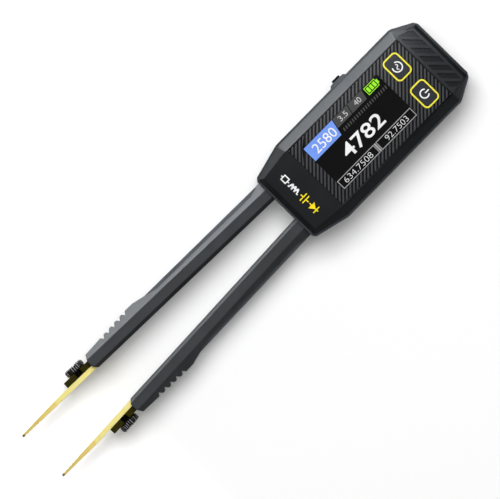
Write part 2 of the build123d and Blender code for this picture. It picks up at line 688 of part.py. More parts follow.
def make_usb_c_socket():
    end = HEAD_END_X - USB_SINK
    floor = end - USB_MOUTH_DEPTH
    socket = usb_bar(0, end - USB_LENGTH, end) - usb_bar(-USB_SHELL, floor, end)
    middle = BOARD_TOP_Z + USB_HEIGHT / 2
    low, high = middle - USB_TONGUE_THICK / 2, middle + USB_TONGUE_THICK / 2
    half = USB_TONGUE_WIDTH / 2
    return socket + block(floor, floor + USB_TONGUE_LENGTH, -half, half, low, high)


def make_chip(x, y, side, thick):
    """A flat chip with a row of short leads on two sides."""
    chip = slab(x, y, side, side, BOARD_TOP_Z, BOARD_TOP_Z + thick)
    span = side + 2 * CHIP_LEAD
    count = int(side / (2 * CHIP_LEAD)) - 1
    for number in range(count):
        place = x + (number - (count - 1) / 2) * 2 * CHIP_LEAD
        chip += slab(place, y, CHIP_LEAD, span, BOARD_TOP_Z, BOARD_TOP_Z + CHIP_LEAD_THICK)
    return chip


def make_buzzer():
    top = BOARD_TOP_Z + BUZZER_HEIGHT
    can = post(BUZZER_X, BUZZER_Y, BOARD_TOP_Z, top, BUZZER_RADIUS)
    return can - post(BUZZER_X, BUZZER_Y, top - BUZZER_HOLE_DEPTH, top, BUZZER_HOLE_RADIUS)


def leaf(extra):
    """A leaf spring in the arm's frame; extra lengthens its gripped end."""
    grip_end = BLOCK_FROM_END + LEAF_GRIP + extra
    return block(
        -LEAF_IN_ARM,
        grip_end,
        LUG_OUTER_Y,
        LEAF_OUTER_Y,
        ARM_MIDDLE - LEAF_DEPTH / 2,
        ARM_MIDDLE + LEAF_DEPTH / 2,
    )


def lead_bar(radius):
    """The straight run of an arm's lead, from the probe board's end to the main board."""
    end = BLOCK_FAR_X + BLOCK_TO_BOARD + LEAD_LAP
    bar = Rot(0, 90, 0) * Cylinder(radius, end - LEAD_START_X)
    return Pos((LEAD_START_X + end) / 2, LEAD_Y, BOARD_TOP_Z + LEAD_RADIUS) * bar


def make_arm_root_block():
    half = SIDE_Y - WALL - BLOCK_SIDE_GAP
    body = block(BLOCK_NEAR_X, BLOCK_FAR_X, -half, half, BLOCK_BASE_Z, BLOCK_TOP_Z)
    grip = placed(leaf(0), "left")
    bore = lead_bar(LEAD_RADIUS + LEAD_CLEAR)
    for tool in (grip, bore):
        body -= tool
        body -= mirror(tool, about=Plane.XZ)
    for side in (1, -1):
        y = side * BLOCK_SCREW_Y
        seat = BLOCK_TOP_Z - SCREW_HEAD_HEIGHT
        body -= post(BLOCK_X, y, BLOCK_BASE_Z, BLOCK_TOP_Z, SCREW_RADIUS + SCREW_CLEAR)
        body -= post(BLOCK_X, y, seat, BLOCK_TOP_Z, SCREW_HEAD_RADIUS + SCREW_CLEAR)
    return body


def make_root_block_screws():
    seat = BLOCK_TOP_Z - SCREW_HEAD_HEIGHT
    places = (BLOCK_SCREW_Y, -BLOCK_SCREW_Y)
    return [screw(CASE_SCREW, BLOCK_X, y, seat, seat - FLOOR) for y in places]


def make_case_screws():
    screws = []
    for x, y in post_places():
        length = case_screw_end(x) - SCREW_HEAD_HEIGHT
        screws.append(screw(CASE_SCREW, x, y, SCREW_HEAD_HEIGHT, length, heads_up=False))
    return screws


def make_board_screws():
    places = (BOARD_SCREW_Y, -BOARD_SCREW_Y)
    length = BOARD_THICK + SCREW_GRIP
    return [screw(BOARD_SCREW, BOARD_SCREW_X, y, BOARD_TOP_Z, length) for y in places]


# ---------------------------------------------------------------- arms


def placed(shape, side):
    """Moves a piece from the arm's own frame to its place on the tool."""
    moved = Pos(-HEAD_END_X, ARM_ROOT_Y, 0) * Rot(0, 0, -ARM_YAW) * shape
    return moved if side == "left" else mirror(moved, about=Plane.XZ)


def grip_line(x):
    """Width of the grip at x, from its shoulder to the arm's end."""
    run = ARM_LENGTH - ARM_END_OUTER_CUT - SHOULDER_END
    share = (-x - SHOULDER_END) / run
    return SHOULDER_WIDTH + (GRIP_END_WIDTH - SHOULDER_WIDTH) * share


def arm_plan(front):
    """One arm shell from the front. The front shell is cut back along the waist."""
    end = ARM_LENGTH
    if front:
        waist = [(-WAIST_START, WAIST_START_WIDTH), (-WAIST_END, WAIST_END_WIDTH)]
    else:
        waist = [(-GRIP_START, ARM_WAIST_WIDTH)]
    plan = outline(
        (ARM_ROOT_LENGTH, 0),
        (ARM_ROOT_LENGTH, ARM_ROOT_WIDTH),
        (-ROOT_STEP, ARM_ROOT_WIDTH),
        *waist,
        (-SHOULDER_START, SHOULDER_WIDTH),
        (-SHOULDER_END, SHOULDER_WIDTH),
        (-end + ARM_END_OUTER_CUT, GRIP_END_WIDTH),
        (-end, ARM_END_OUTER_WIDTH),
        (-end, ARM_END_INNER_WIDTH),
        (-end + ARM_END_INNER_CUT, 0),
    )
    half = NOTCH_WIDTH / 2
    for number in range(NOTCH_COUNT):
        x = -SHOULDER_END - NOTCH_FIRST - number * NOTCH_PITCH
        y = grip_line(x)
        plan -= outline(
            (x - half, y),
            (x - half, y + PAST),
            (x + half, y + PAST),
            (x + half, y),
            (x, y - NOTCH_DEPTH),
        )
    return plan


def long_bevels(shape, edge_z, up):
    """Planes off the two long edges of an arm shell, at its front (up = 1) or back (-1)."""
    x0, x1 = -ARM_LENGTH - PAST, ARM_ROOT_LENGTH + PAST
    beyond = edge_z + up * PAST
    drop = SHOULDER_WIDTH + PAST - TOP_OUTER_Y
    outer = [
        (TOP_OUTER_Y, edge_z),
        (TOP_OUTER_Y + drop, edge_z - up * drop),
        (TOP_OUTER_Y + drop, beyond),
        (TOP_OUTER_Y, beyond),
    ]
    inner = [
        (ARM_INNER_BEVEL, edge_z),
        (0, edge_z - up * ARM_INNER_BEVEL_DROP),
        (-PAST, edge_z - up * ARM_INNER_BEVEL_DROP),
        (-PAST, beyond),
        (ARM_INNER_BEVEL, beyond),
    ]
    return shape - along(outer, x0, x1) - along(inner, x0, x1)


def arm_channels(shape):
    """Cuts the space for the probe board, the leaf spring and the blade's root."""
    tip, root = -ARM_LENGTH - PAST, ARM_ROOT_LENGTH + PAST
    shape -= block(tip, root, BLADE_OUTER_Y, LUG_OUTER_Y, BOARD_LOW_Z, BOARD_HIGH_Z)
    shape -= block(
        -LEAF_IN_ARM,
        root,
        LUG_OUTER_Y,
        LEAF_OUTER_Y,
        ARM_MIDDLE - LEAF_DEPTH / 2,
        ARM_MIDDLE + LEAF_DEPTH / 2,
    )
    shape -= block(
        tip,
        BLADE_ROOT_X + BLADE_GAP,
        -PAST,
        BLADE_OUTER_Y,
        BOARD_LOW_Z - BLADE_GAP,
        BOARD_HIGH_Z + BLADE_GAP,
    )
    return shape


def make_arm_front_shell():
    shell = long_bevels(upright(arm_plan(True), SPLIT_Z, ARM_TOP), ARM_TOP, 1)
    return arm_channels(shell)


def make_arm_rear_shell():
    shell = long_bevels(upright(arm_plan(False), ARM_FLOOR_GAP, SPLIT_Z), ARM_FLOOR_GAP, -1)
    return arm_channels(shell)


def cross_bar(x, y0, y1, radius):
    """A round bar or hole across the arm at mid height."""
    return Pos(x, (y0 + y1) / 2, ARM_MIDDLE) * Rot(90, 0, 0) * Cylinder(radius, y1 - y0)


def make_probe_board():
    board = block(LUG_END_X, PROBE_BOARD_START, BLADE_OUTER_Y, LUG_OUTER_Y, BOARD_LOW_Z, BOARD_HIGH_Z)
    half = LUG_SLOT_WIDTH / 2
    board -= cross_bar(CLAMP_X, BLADE_OUTER_Y, LUG_OUTER_Y, half)
    slot_ends = (CLAMP_X - half, CLAMP_X + half)
    board -= block(*slot_ends, BLADE_OUTER_Y, LUG_OUTER_Y, ARM_MIDDLE, BOARD_HIGH_Z)
    return board - cross_bar(PIN_X, BLADE_OUTER_Y, LUG_OUTER_Y, PIN_RADIUS)


def make_locating_pin():
    return cross_bar(PIN_X, BLADE_SINK + PIN_SINK, LUG_OUTER_Y, PIN_RADIUS)


def make_blade():
    half, tip = BLADE_WIDTH / 2, BLADE_TIP_WIDTH / 2
    point_x = BLADE_TIP_X + BLADE_POINT_LENGTH
    side_view = outline(
        (BLADE_ROOT_X, half),
        (BLADE_ROOT_X, -half),
        (point_x, -half),
        (BLADE_TIP_X, -tip),
        (BLADE_TIP_X, tip),
        (point_x, half),
    )
    corners = side_view.vertices().sort_by(Axis.X)
    side_view = fillet(corners[:2], BLADE_TIP_ROUND)
    corners = side_view.vertices().sort_by(Axis.X)
    side_view = fillet(corners[-2:], BLADE_CORNER)
    blank = extrude(Plane.XZ * side_view, BLADE_THICK, dir=(0, 1, 0))
    blade = Pos(0, BLADE_SINK, ARM_MIDDLE) * blank
    thin_x = BLADE_TIP_X + BLADE_THIN_LENGTH
    taper = (BLADE_THICK - BLADE_TIP_THICK) / BLADE_THIN_LENGTH
    grind = outline(
        (thin_x, BLADE_OUTER_Y),
        (BLADE_TIP_X - PAST, BLADE_SINK + BLADE_TIP_THICK - PAST * taper),
        (BLADE_TIP_X - PAST, BLADE_OUTER_Y + PAST),
        (thin_x, BLADE_OUTER_Y + PAST),
    )
    blade -= upright(grind, ARM_MIDDLE - BLADE_WIDTH, ARM_MIDDLE + BLADE_WIDTH)
    for number in range(TOOTH_COUNT):
        x = BLADE_TIP_X + (number + 1) * TOOTH_PITCH
        half = TOOTH_WIDTH / 2
        root_y = BLADE_SINK + TOOTH_DEPTH
        tooth = outline((x - half, BLADE_SINK), (x, root_y), (x + half, BLADE_SINK))
        blade -= upright(tooth, ARM_MIDDLE - BLADE_WIDTH, ARM_MIDDLE + BLADE_WIDTH)
    blade -= cross_bar(CLAMP_X, BLADE_SINK, BLADE_OUTER_Y, CLAMP_RADIUS + CLAMP_CLEAR)
    return blade - cross_bar(PIN_X, BLADE_SINK, BLADE_OUTER_Y, PIN_RADIUS + PIN_CLEAR)


def make_screw_washer():
    ring = cross_bar(CLAMP_X, LUG_OUTER_Y, WASHER_OUTER_Y, WASHER_RADIUS)
    return ring - cross_bar(CLAMP_X, LUG_OUTER_Y, WASHER_OUTER_Y, CLAMP_RADIUS + CLAMP_CLEAR)


def make_thumb_screw():
    points = []
    for number in range(2 * KNURL_COUNT):
        turn = pi * number / KNURL_COUNT
        radius = KNOB_RADIUS - KNURL_DEPTH * (number % 2)
        points.append((radius * cos(turn), radius * sin(turn)))
    knob = extrude(outline(*points), KNOB_HEIGHT, dir=(0, 0, 1))
    flat = KNOB_RADIUS - KNOB_BEVEL
    shape = Polygon(
        (0, 0),
        (KNOB_RADIUS, 0),
        (KNOB_RADIUS, KNOB_HEIGHT - KNOB_BEVEL_DROP),
        (flat, KNOB_HEIGHT),
        (0, KNOB_HEIGHT),
        align=None,
    )
    knob &= revolve(Plane.XZ * shape, Axis.Z)
    reach = WASHER_OUTER_Y - BLADE_SINK
    shank = Pos(0, 0, -reach / 2) * Cylinder(CLAMP_RADIUS, reach)
    return Pos(CLAMP_X, WASHER_OUTER_Y, ARM_MIDDLE) * Rot(-90, 0, 0) * (knob + shank)


def save(name, shape):
    """Writes one node, as one solid or as a group of separate solids."""
    group = shape if isinstance(shape, list) else [shape]
    solids = [solid for item in group for solid in item.solids()]
    whole = solids[0] if len(solids) == 1 else Compound(children=solids)
    export_step(whole, f"parts/{name}.step")


def main():
    os.makedirs("parts", exist_ok=True)
    save("rear_cover", make_rear_cover())
    save("front_cover", make_front_cover())
    save("striped_panel", make_striped_panel())
    save("display_window", make_display_window())
    save("display_module", make_display_module())
    for name, y in button_rows():
        save(f"{name}_button", make_button(y))
        save(f"{name}_button_bezel", make_bezel(y))
        save(f"{name}_button_switch", make_button_switch(y))
    save("side_lever", make_side_lever())
    save("side_switch", make_side_switch())
    save("battery", make_battery())
    save("main_board", make_main_board())
    save("usb_c_socket", make_usb_c_socket())
    save("processor_chip", make_chip(PROCESSOR_X, PROCESSOR_Y, PROCESSOR_SIDE, PROCESSOR_THICK))
    save("converter_chip", make_chip(CONVERTER_X, CONVERTER_Y, CONVERTER_SIDE, CONVERTER_THICK))
    save("buzzer", make_buzzer())
    save("arm_root_block", make_arm_root_block())
    save("root_block_screws", make_root_block_screws())
    save("case_screws", make_case_screws())
    save("board_screws", make_board_screws())
    arm_pieces = {
        "arm_front_shell": make_arm_front_shell(),
        "arm_rear_shell": make_arm_rear_shell(),
        "probe_board": make_probe_board(),
        "locating_pin": make_locating_pin(),
        "blade": make_blade(),
        "leaf_spring": leaf(0),
        "screw_washer": make_screw_washer(),
        "thumb_screw": make_thumb_screw(),
    }
    lead = lead_bar(LEAD_RADIUS)
    for side in ("left", "right"):
        for name, shape in arm_pieces.items():
            save(f"{side}_{name}", placed(shape, side))
        save(f"{side}_arm_lead", lead if side == "left" else mirror(lead, about=Plane.XZ))
    print("hinge", round(HINGE_X, 3), round(HINGE_Y, 3), "closing angle", round(CLOSING_ANGLE, 3))
    clamp_x, clamp_y = arm_point(CLAMP_X, LUG_OUTER_Y)
    print("clamp", round(clamp_x, 3), round(clamp_y, 3), "height", ARM_MIDDLE, "front", FRONT_Z)
    print("clamp travel", CLAMP_PITCH * CLAMP_TURNS)


main()
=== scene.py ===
import json
from math import atan2, cos, radians, sin, tan

import bmesh
import bpy
from mathutils import Matrix, Vector

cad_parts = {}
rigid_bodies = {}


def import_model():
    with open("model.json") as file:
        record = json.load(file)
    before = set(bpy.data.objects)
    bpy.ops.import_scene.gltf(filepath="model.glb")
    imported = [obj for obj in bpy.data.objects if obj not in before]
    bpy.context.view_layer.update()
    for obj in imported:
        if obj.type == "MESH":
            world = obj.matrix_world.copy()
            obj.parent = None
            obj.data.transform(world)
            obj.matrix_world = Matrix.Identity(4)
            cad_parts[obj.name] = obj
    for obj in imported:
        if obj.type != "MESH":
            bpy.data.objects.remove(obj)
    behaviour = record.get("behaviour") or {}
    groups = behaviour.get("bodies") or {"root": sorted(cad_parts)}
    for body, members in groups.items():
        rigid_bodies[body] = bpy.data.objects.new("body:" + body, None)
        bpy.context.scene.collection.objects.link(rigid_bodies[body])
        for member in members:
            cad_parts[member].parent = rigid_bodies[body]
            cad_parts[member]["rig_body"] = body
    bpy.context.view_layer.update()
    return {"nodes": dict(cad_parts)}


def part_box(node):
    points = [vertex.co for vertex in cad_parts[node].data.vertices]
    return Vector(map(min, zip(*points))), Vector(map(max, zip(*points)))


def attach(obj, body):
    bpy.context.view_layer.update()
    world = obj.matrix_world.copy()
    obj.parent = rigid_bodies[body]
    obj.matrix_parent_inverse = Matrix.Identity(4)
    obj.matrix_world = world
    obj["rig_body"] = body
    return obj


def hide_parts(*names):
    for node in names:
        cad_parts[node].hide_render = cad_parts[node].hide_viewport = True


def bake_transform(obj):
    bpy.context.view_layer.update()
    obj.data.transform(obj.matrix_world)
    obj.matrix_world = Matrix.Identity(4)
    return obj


# Hand-held component tester: a display head with two sprung arms and clamped gold blades.
# Sizes are millimetres until a piece is finished. The head lies on its back at z = 0, the
# blades point to -X and the display faces +Z. The left arm is on the +Y side.

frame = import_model()
MM = 0.001


def box_mm(node):
    """A CAD node's lowest and highest corners in millimetres."""
    low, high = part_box(node)
    return low / MM, high / MM


# Places taken from the frame
WINDOW_LOW, WINDOW_HIGH = box_mm("display_window")
PANEL_LOW, PANEL_HIGH = box_mm("striped_panel")
COVER_LOW, COVER_HIGH = box_mm("front_cover")
SOCKET_LOW, SOCKET_HIGH = box_mm("usb_c_socket")
ARM_LOW, ARM_HIGH = box_mm("left_arm_front_shell")
HEAD_END_X = box_mm("rear_cover")[1].x
BLADE_TIP_X = box_mm("left_blade")[0].x
BLOCK_END_X = box_mm("arm_root_block")[0].x
GLASS_Z = WINDOW_HIGH.z

# Arms: their own frame runs from the head's end wall, y outwards from the inner face
ARM_YAW = radians(2.0)
ARM_ROOT_Y = 3.35
ARM_MIDDLE_Z = 7.6
CLAMP_X = -63.7
KNOB_BASE_Y = 3.18
SIDES = {"left": 1, "right": -1}

# The far slope of the head and the slots cut in it
FAR_SLOPE = radians(16.5)
# along the head, where the far slope's face gets painted light and its slot floors painted shade
SLOTS_X = (21.2, 25.9)
SLOTS_RISE = 1.2  # from the front cover's lower edge to where the slots may begin
SLOT_FLOOR = (0.2, 0.6)  # depths under the slope between which a slot's floor lies
CRISP_X = (21.3, 26.3)  # along the head, the slots' corners that stay crisp
CRISP_Z = 13.9  # and the height above which they lie

# Rounding of edges
WELD = 0.0005
FLAT_ANGLE = radians(0.6)
EDGE_ANGLE = radians(24)
SHARP_ANGLE = radians(32)

# ------------------------------------------------------------------ shader building

WORN_TURN = (0.02, 0.2)  # how far an edge turns the surface where wear begins and is full


class Value:
    """A socket carrying one number; its operators add Math nodes."""

    def __init__(self, finish, socket):
        self.finish = finish
        self.socket = socket

    def maths(self, operation, first, second):
        """The result of one Math node."""
        values = {0: first, 1: second}
        return self.finish.node("ShaderNodeMath", {"operation": operation}, values)

    def __add__(self, other):
        return self.maths("ADD", self, other)

    def __radd__(self, other):
        return self.maths("ADD", other, self)

    def __sub__(self, other):
        return self.maths("SUBTRACT", self, other)

    def __rsub__(self, other):
        return self.maths("SUBTRACT", other, self)

    def __mul__(self, other):
        return self.maths("MULTIPLY", self, other)

    def __gt__(self, other):
        return self.maths("GREATER_THAN", self, other)

    def __lt__(self, other):
        return self.maths("LESS_THAN", self, other)

    def __abs__(self):
        return self.maths("ABSOLUTE", self, 0.0)

    def ramp(self, low, high):
        """0 below low, 1 above high, smooth between."""
        limits = {"Value": self, "From Min": low, "From Max": high}
        kind = {"interpolation_type": "SMOOTHSTEP", "clamp": True}
        return self.finish.node("ShaderNodeMapRange", kind, limits)


class Studio:
    """A node tree that nodes are added to, for the surroundings or a material."""

    def __init__(self, tree):
        self.tree = tree

    def node(self, kind, settings=None, values=None, output=0):
        """Adds a node, sets it, feeds its sockets and gives one of its outputs."""
        made = self.tree.nodes.new(kind)
        for key, setting in (settings or {}).items():
            setattr(made, key, setting)
        for key, value in (values or {}).items():
            self.feed(made.inputs[key], value)
        return Value(self, made.outputs[output])

    def feed(self, socket, value):
        """Links a value to a socket, or sets the socket when the value is plain."""
        if isinstance(value, Value):
            self.tree.links.new(value.socket, socket)
        else:
            socket.default_value = value

    def axis(self, point, name):
        """One coordinate of a point or direction."""
        return self.node("ShaderNodeSeparateXYZ", None, {"Vector": point}, name)


class Finish(Studio):
    """One material built around a Principled shader."""

    def __init__(self, name, **constants):
        self.material = bpy.data.materials.new(name)
        self.material.use_nodes = True
        super().__init__(self.material.node_tree)
        self.shader = self.tree.nodes["Principled BSDF"]
        for socket, value in constants.items():
            self.shader.inputs[socket.replace("_", " ")].default_value = value

    def drive(self, **values):
        """Links what varies over the surface to the shader."""
        for socket, value in values.items():
            self.feed(self.shader.inputs[socket.replace("_", " ")], value)

    def place(self, stretch=(1, 1, 1), turn=(0, 0, 0)):
        """Object coordinates in millimetres, turned and stretched."""
        point = self.node("ShaderNodeTexCoord", output="Object")
        millimetres = {"Vector": point, "Scale": (1 / MM, 1 / MM, 1 / MM)}
        scaled = self.node("ShaderNodeMapping", {"vector_type": "POINT"}, millimetres)
        values = {"Vector": scaled, "Rotation": turn, "Scale": stretch}
        return self.node("ShaderNodeMapping", {"vector_type": "POINT"}, values)

    def noise(self, point, scale, detail=2.0, roughness=0.5):
        """Soft random unevenness from 0 to 1; scale is waves for each millimetre."""
        values = {"Vector": point, "Scale": scale, "Detail": detail, "Roughness": roughness}
        return self.node("ShaderNodeTexNoise", None, values, "Fac")

    def mix(self, share, first, second):
        """A colour between two others."""
        values = {"Factor": share, "A": first, "B": second}
        made = self.tree.nodes.new("ShaderNodeMix")
        made.data_type = "RGBA"
        sockets = {s.identifier: s for s in made.inputs}
        for key, identifier in (("Factor", "Factor_Float"), ("A", "A_Color"), ("B", "B_Color")):
            self.feed(sockets[identifier], values[key])
        outputs = {s.identifier: s for s in made.outputs}
        return Value(self, outputs["Result_Color"])

    def rounded_normal(self, radius):
        """The surface direction with edges softened by a radius in millimetres."""
        return self.node("ShaderNodeBevel", {"samples": 4}, {"Radius": radius * MM})

    def edge_wear(self, radius):
        """1 at outer and inner edges, 0 on flats."""
        rounded = self.rounded_normal(radius)
        true = self.node("ShaderNodeNewGeometry", output="Normal")
        kind = {"operation": "DOT_PRODUCT"}
        facing = self.node("ShaderNodeVectorMath", kind, {0: rounded, 1: true}, "Value")
        return (1 - facing).ramp(*WORN_TURN)

    def bump(self, height, depth, normal=None):
        """A bumped normal; depth is millimetres between height 0 and 1."""
        values = {"Height": height, "Distance": depth * MM, "Strength": 1.0}
        if normal is not None:
            values["Normal"] = normal
        return self.node("ShaderNodeBump", None, values)


def linear(code):
    """A shader colour from a written sRGB colour code."""
    channels = [int(code[i : i + 2], 16) / 255 for i in (1, 3, 5)]
    return (*(c / 12.92 if c <= 0.04045 else ((c + 0.055) / 1.055) ** 2.4 for c in channels), 1.0)


def grey(level):
    """A neutral shader colour of one linear level."""
    return (level, level, level, 1.0)


def dimmed(colour, share):
    """A colour brought down to a share of its strength."""
    return (*(share * c for c in colour[:3]), 1.0)


COOL_SHEEN = (0.88, 0.94, 1.0, 1.0)
EDGE_WEAR = 0.5


def moulded(name, code, worn_code, roughness, specular, grain=0.004, paints_slot_light_and_shade=False):
    """Spark-textured moulded plastic with softened, slightly polished edges.

    When asked, it gets painted light on the face between the slots of its sloping end and painted
    shade on the floors of the slots.
    """
    colour, worn = linear(code), linear(worn_code)
    paint = Finish(name, Specular_IOR_Level=specular, Specular_Tint=COOL_SHEEN)
    place = paint.place()
    patch = paint.noise(place, 0.11, 3.0)
    fine = paint.noise(place, 6.5, 2.0, 0.6)
    edges = paint.edge_wear(0.22)
    speck = paint.mix(fine.ramp(0.25, 0.75), colour, dimmed(colour, 0.82))
    if paints_slot_light_and_shade:
        # painted light on the sloping end's face and painted shade on its slot floors
        speck = painted_slot_light_and_shade(paint, place, speck)
    aged = paint.mix(patch.ramp(0.3, 0.7) * 0.25, speck, worn)
    paint.drive(
        Base_Color=paint.mix(edges * EDGE_WEAR, aged, worn),
        Roughness=roughness + (patch - 0.5) * 0.14 - edges * 0.1,
        Normal=paint.bump(fine, grain, paint.rounded_normal(0.14)),
    )
    return paint.material


def painted_slot_light_and_shade(paint, place, colour):
    """Paints light onto the sloping end's face and paints shade onto the floors of its slots."""
    x, z = paint.axis(place, "X"), paint.axis(place, "Z")
    slope = COVER_HIGH.z + PANEL_HIGH.x * tan(FAR_SLOPE) - x * tan(FAR_SLOPE)
    under = slope - z
    painted_slot_zone = (x > SLOTS_X[0]) * (x < SLOTS_X[1]) * (z > COVER_LOW.z + SLOTS_RISE)
    floor = painted_slot_zone * (under > SLOT_FLOOR[0]) * (under < SLOT_FLOOR[1])
    # painted light: the sloping end's face is coloured lighter
    face = paint.mix(painted_slot_zone, colour, linear("#2b2c2f"))
    # painted shade: the slots' floors are coloured darker
    return paint.mix(floor, face, linear("#1a1b1d"))


def metal(name, code, dark_code, roughness, brush):
    """Plain metal with fine brushing along one direction and faint stains."""
    colour, dark = linear(code), linear(dark_code)
    paint = Finish(name, Metallic=1.0)
    lines = paint.noise(paint.place(brush), 1.0, 3.0, 0.6)
    stain = paint.noise(paint.place(), 0.35, 3.0)
    edges = paint.edge_wear(0.1)
    shade = paint.mix(stain.ramp(0.45, 0.75) * 0.5, colour, dark)
    paint.drive(
        Base_Color=paint.mix(lines.ramp(0.35, 0.7) * 0.25, shade, dark),
        Roughness=roughness + (lines - 0.5) * 0.2 - edges * 0.08,
        Normal=paint.bump(lines, 0.003, paint.rounded_normal(0.06)),
    )
    return paint.material


def glass():
    """Polished dark cover glass with faint wiping marks."""
    paint = Finish("display_glass", Specular_IOR_Level=0.07)
    marks = paint.noise(paint.place((0.3, 1.6, 1.0), turn=(0, 0, 0.6)), 0.5, 4.0, 0.65)
    tone = paint.mix(marks.ramp(0.4, 0.8), linear("#070708"), linear("#0b0b0d"))
    paint.drive(Base_Color=tone, Roughness=0.06 + marks * 0.12, Normal=paint.rounded_normal(0.1))
    return paint.material


DISPLAY_GLOW = 0.93


def lit(name, code):
    """A lit part of the display, faintly uneven."""
    paint = Finish(name, Specular_IOR_Level=0.1, Emission_Strength=DISPLAY_GLOW, Roughness=0.2)
    unevenness = paint.noise(paint.place(), 0.35, 2.0)
    full = linear(code)
    paint.drive(
        Base_Color=paint.mix(unevenness, linear("#050505"), linear("#0a0a0a")),
        Emission_Color=paint.mix(unevenness.ramp(0.3, 0.8), full, dimmed(full, 0.9)),
    )
    return paint.material


def printed(name, code, roughness=0.45):
    """Screen-printed ink with slightly patchy cover."""
    paint = Finish(name, Specular_IOR_Level=0.3)
    cover = paint.noise(paint.place(), 4.0, 3.0)
    full = linear(code)
    paint.drive(
        Base_Color=paint.mix(cover.ramp(0.4, 0.8), full, dimmed(full, 0.86)),
        Roughness=roughness + (cover - 0.5) * 0.2,
        Normal=paint.bump(cover, 0.004),
    )
    return paint.material


GROOVE_SHADE = (0.2, 0.03)  # depths between which a groove's dark turns into a stripe's light


def striped():
    """Light raised stripes with darker grooves, told apart by their height."""
    paint = Finish("striped_panel", Specular_IOR_Level=0.4)
    place = paint.place()
    fine = paint.noise(place, 7.0, 2.0, 0.6)
    patch = paint.noise(place, 0.16, 3.0)
    deep, shallow = GROOVE_SHADE
    raised = paint.axis(place, "Z").ramp(PANEL_HIGH.z - deep, PANEL_HIGH.z - shallow)
    light = paint.mix(fine.ramp(0.3, 0.7), linear("#323437"), linear("#3d3f42"))
    dark = paint.mix(fine, linear("#050506"), linear("#0a0a0b"))
    paint.drive(
        Base_Color=paint.mix(raised, dark, light),
        Roughness=0.85 - raised * 0.4 + (patch - 0.5) * 0.15,
        Normal=paint.bump(fine, 0.003, paint.rounded_normal(0.06)),
    )
    return paint.material


TIP_REACH = (0.4, 1.0)  # from the blade's tip, where its bare end stops
POINT_REACH = (11.0, 11.8)  # from the blade's tip, where its ground point stops


def gold():
    """Brushed gold plate, deeper in colour over the ground point of the blade."""
    paint = Finish("gold_plate", Metallic=0.4)
    place = paint.place()
    along = paint.noise(paint.place((0.12, 5.0, 5.0)), 1.0, 4.0, 0.65)
    stain = paint.noise(place, 0.5, 3.0)
    reach = paint.axis(place, "X") - BLADE_TIP_X
    point = 1 - reach.ramp(*POINT_REACH)
    tip = 1 - reach.ramp(*TIP_REACH)
    plate = paint.mix(stain.ramp(0.4, 0.8), linear("#fff29a"), linear("#fcea86"))
    ground = paint.mix(stain.ramp(0.4, 0.8), linear("#fde384"), linear("#f5d56e"))
    colour = paint.mix(point, plate, ground)
    paint.drive(
        Base_Color=paint.mix(tip * 0.8, colour, linear("#57471f")),
        Roughness=0.34 + (along - 0.5) * 0.1 + point * 0.05,
        Normal=paint.bump(along, 0.001, paint.rounded_normal(0.05)),
    )
    return paint.material


LUG_COVERED = 0.2  # length of lug inside the arm's end that stays unplated


def laminate():
    """Dark glass laminate on its edges and gold plate on its two faces past the arm."""
    paint = Finish("lug_laminate", Specular_IOR_Level=0.08)
    place = paint.place()
    weave = paint.noise(paint.place((0.6, 14.0, 0.6)), 1.0, 2.0)
    facing = paint.node("ShaderNodeTexCoord", output="Normal")
    flat = abs(paint.axis(facing, "Y")).ramp(0.85, 0.95)
    bare = flat * (paint.axis(place, "X") < ARM_LOW.x + LUG_COVERED)
    edge = paint.mix(weave.ramp(0.35, 0.65), linear("#262302"), linear("#322e07"))
    mask = paint.mix(flat, edge, linear("#16351f"))
    paint.drive(
        Base_Color=paint.mix(bare, mask, linear("#efd672")),
        Metallic=bare,
        Roughness=0.5 - bare * 0.2 + (weave - 0.5) * 0.1,
        Normal=paint.rounded_normal(0.08),
    )
    return paint.material


def knurled_black():
    """Black plated metal whose ridges are rubbed brighter."""
    paint = Finish("black_metal", Specular_IOR_Level=0.25)
    ridge = paint.node("ShaderNodeAttribute", {"attribute_name": "ridge"}, output="Fac")
    scuff = paint.noise(paint.place((1.0, 0.1, 1.0)), 1.9, 3.0, 0.6)
    rubbed = ridge.ramp(0.84, 0.97) * scuff.ramp(0.38, 0.54)
    paint.drive(
        Base_Color=paint.mix(rubbed, linear("#0a0a0b"), linear("#ececee")),
        Metallic=rubbed * 0.7,
        Roughness=0.4 + (scuff - 0.5) * 0.05,
        Normal=paint.bump(scuff, 0.001, paint.rounded_normal(0.07)),
    )
    return paint.material


def board():
    """Green solder mask over fine copper tracks, cut edges paler."""
    paint = Finish("circuit_board", Specular_IOR_Level=0.5)
    place = paint.place()
    facing = paint.node("ShaderNodeTexCoord", output="Normal")
    flat = abs(paint.axis(facing, "Z")).ramp(0.8, 0.95)
    lattice = {"Vector": place, "Scale": 0.7}
    cells = paint.node("ShaderNodeTexVoronoi", {"distance": "MANHATTAN"}, lattice)
    track = cells.ramp(0.38, 0.42)
    mask = paint.mix(track, linear("#123d24"), linear("#1c5a35"))
    paint.drive(
        Base_Color=paint.mix(flat, linear("#a79a63"), mask),
        Roughness=0.5 - flat * 0.2,
        Normal=paint.bump(track, 0.02),
    )
    return paint.material


def foil():
    """Crinkled foil pouch."""
    paint = Finish("battery_foil", Metallic=0.9)
    crinkle = paint.noise(paint.place(), 0.9, 5.0, 0.6)
    paint.drive(
        Base_Color=paint.mix(crinkle, linear("#b9babd"), linear("#d2d3d6")),
        Roughness=0.32 + crinkle * 0.2,
        Normal=paint.bump(crinkle, 0.12),
    )
    return paint.material


def rubber():
    """Soft insulated lead."""
    paint = Finish("lead_rubber", Specular_IOR_Level=0.4)
    fine = paint.noise(paint.place((0.5, 4.0, 4.0)), 1.0, 3.0)
    paint.drive(
        Base_Color=paint.mix(fine, linear("#161616"), linear("#232324")),
        Roughness=0.55 + (fine - 0.5) * 0.2,
        Normal=paint.bump(fine, 0.01),
    )
    return paint.material


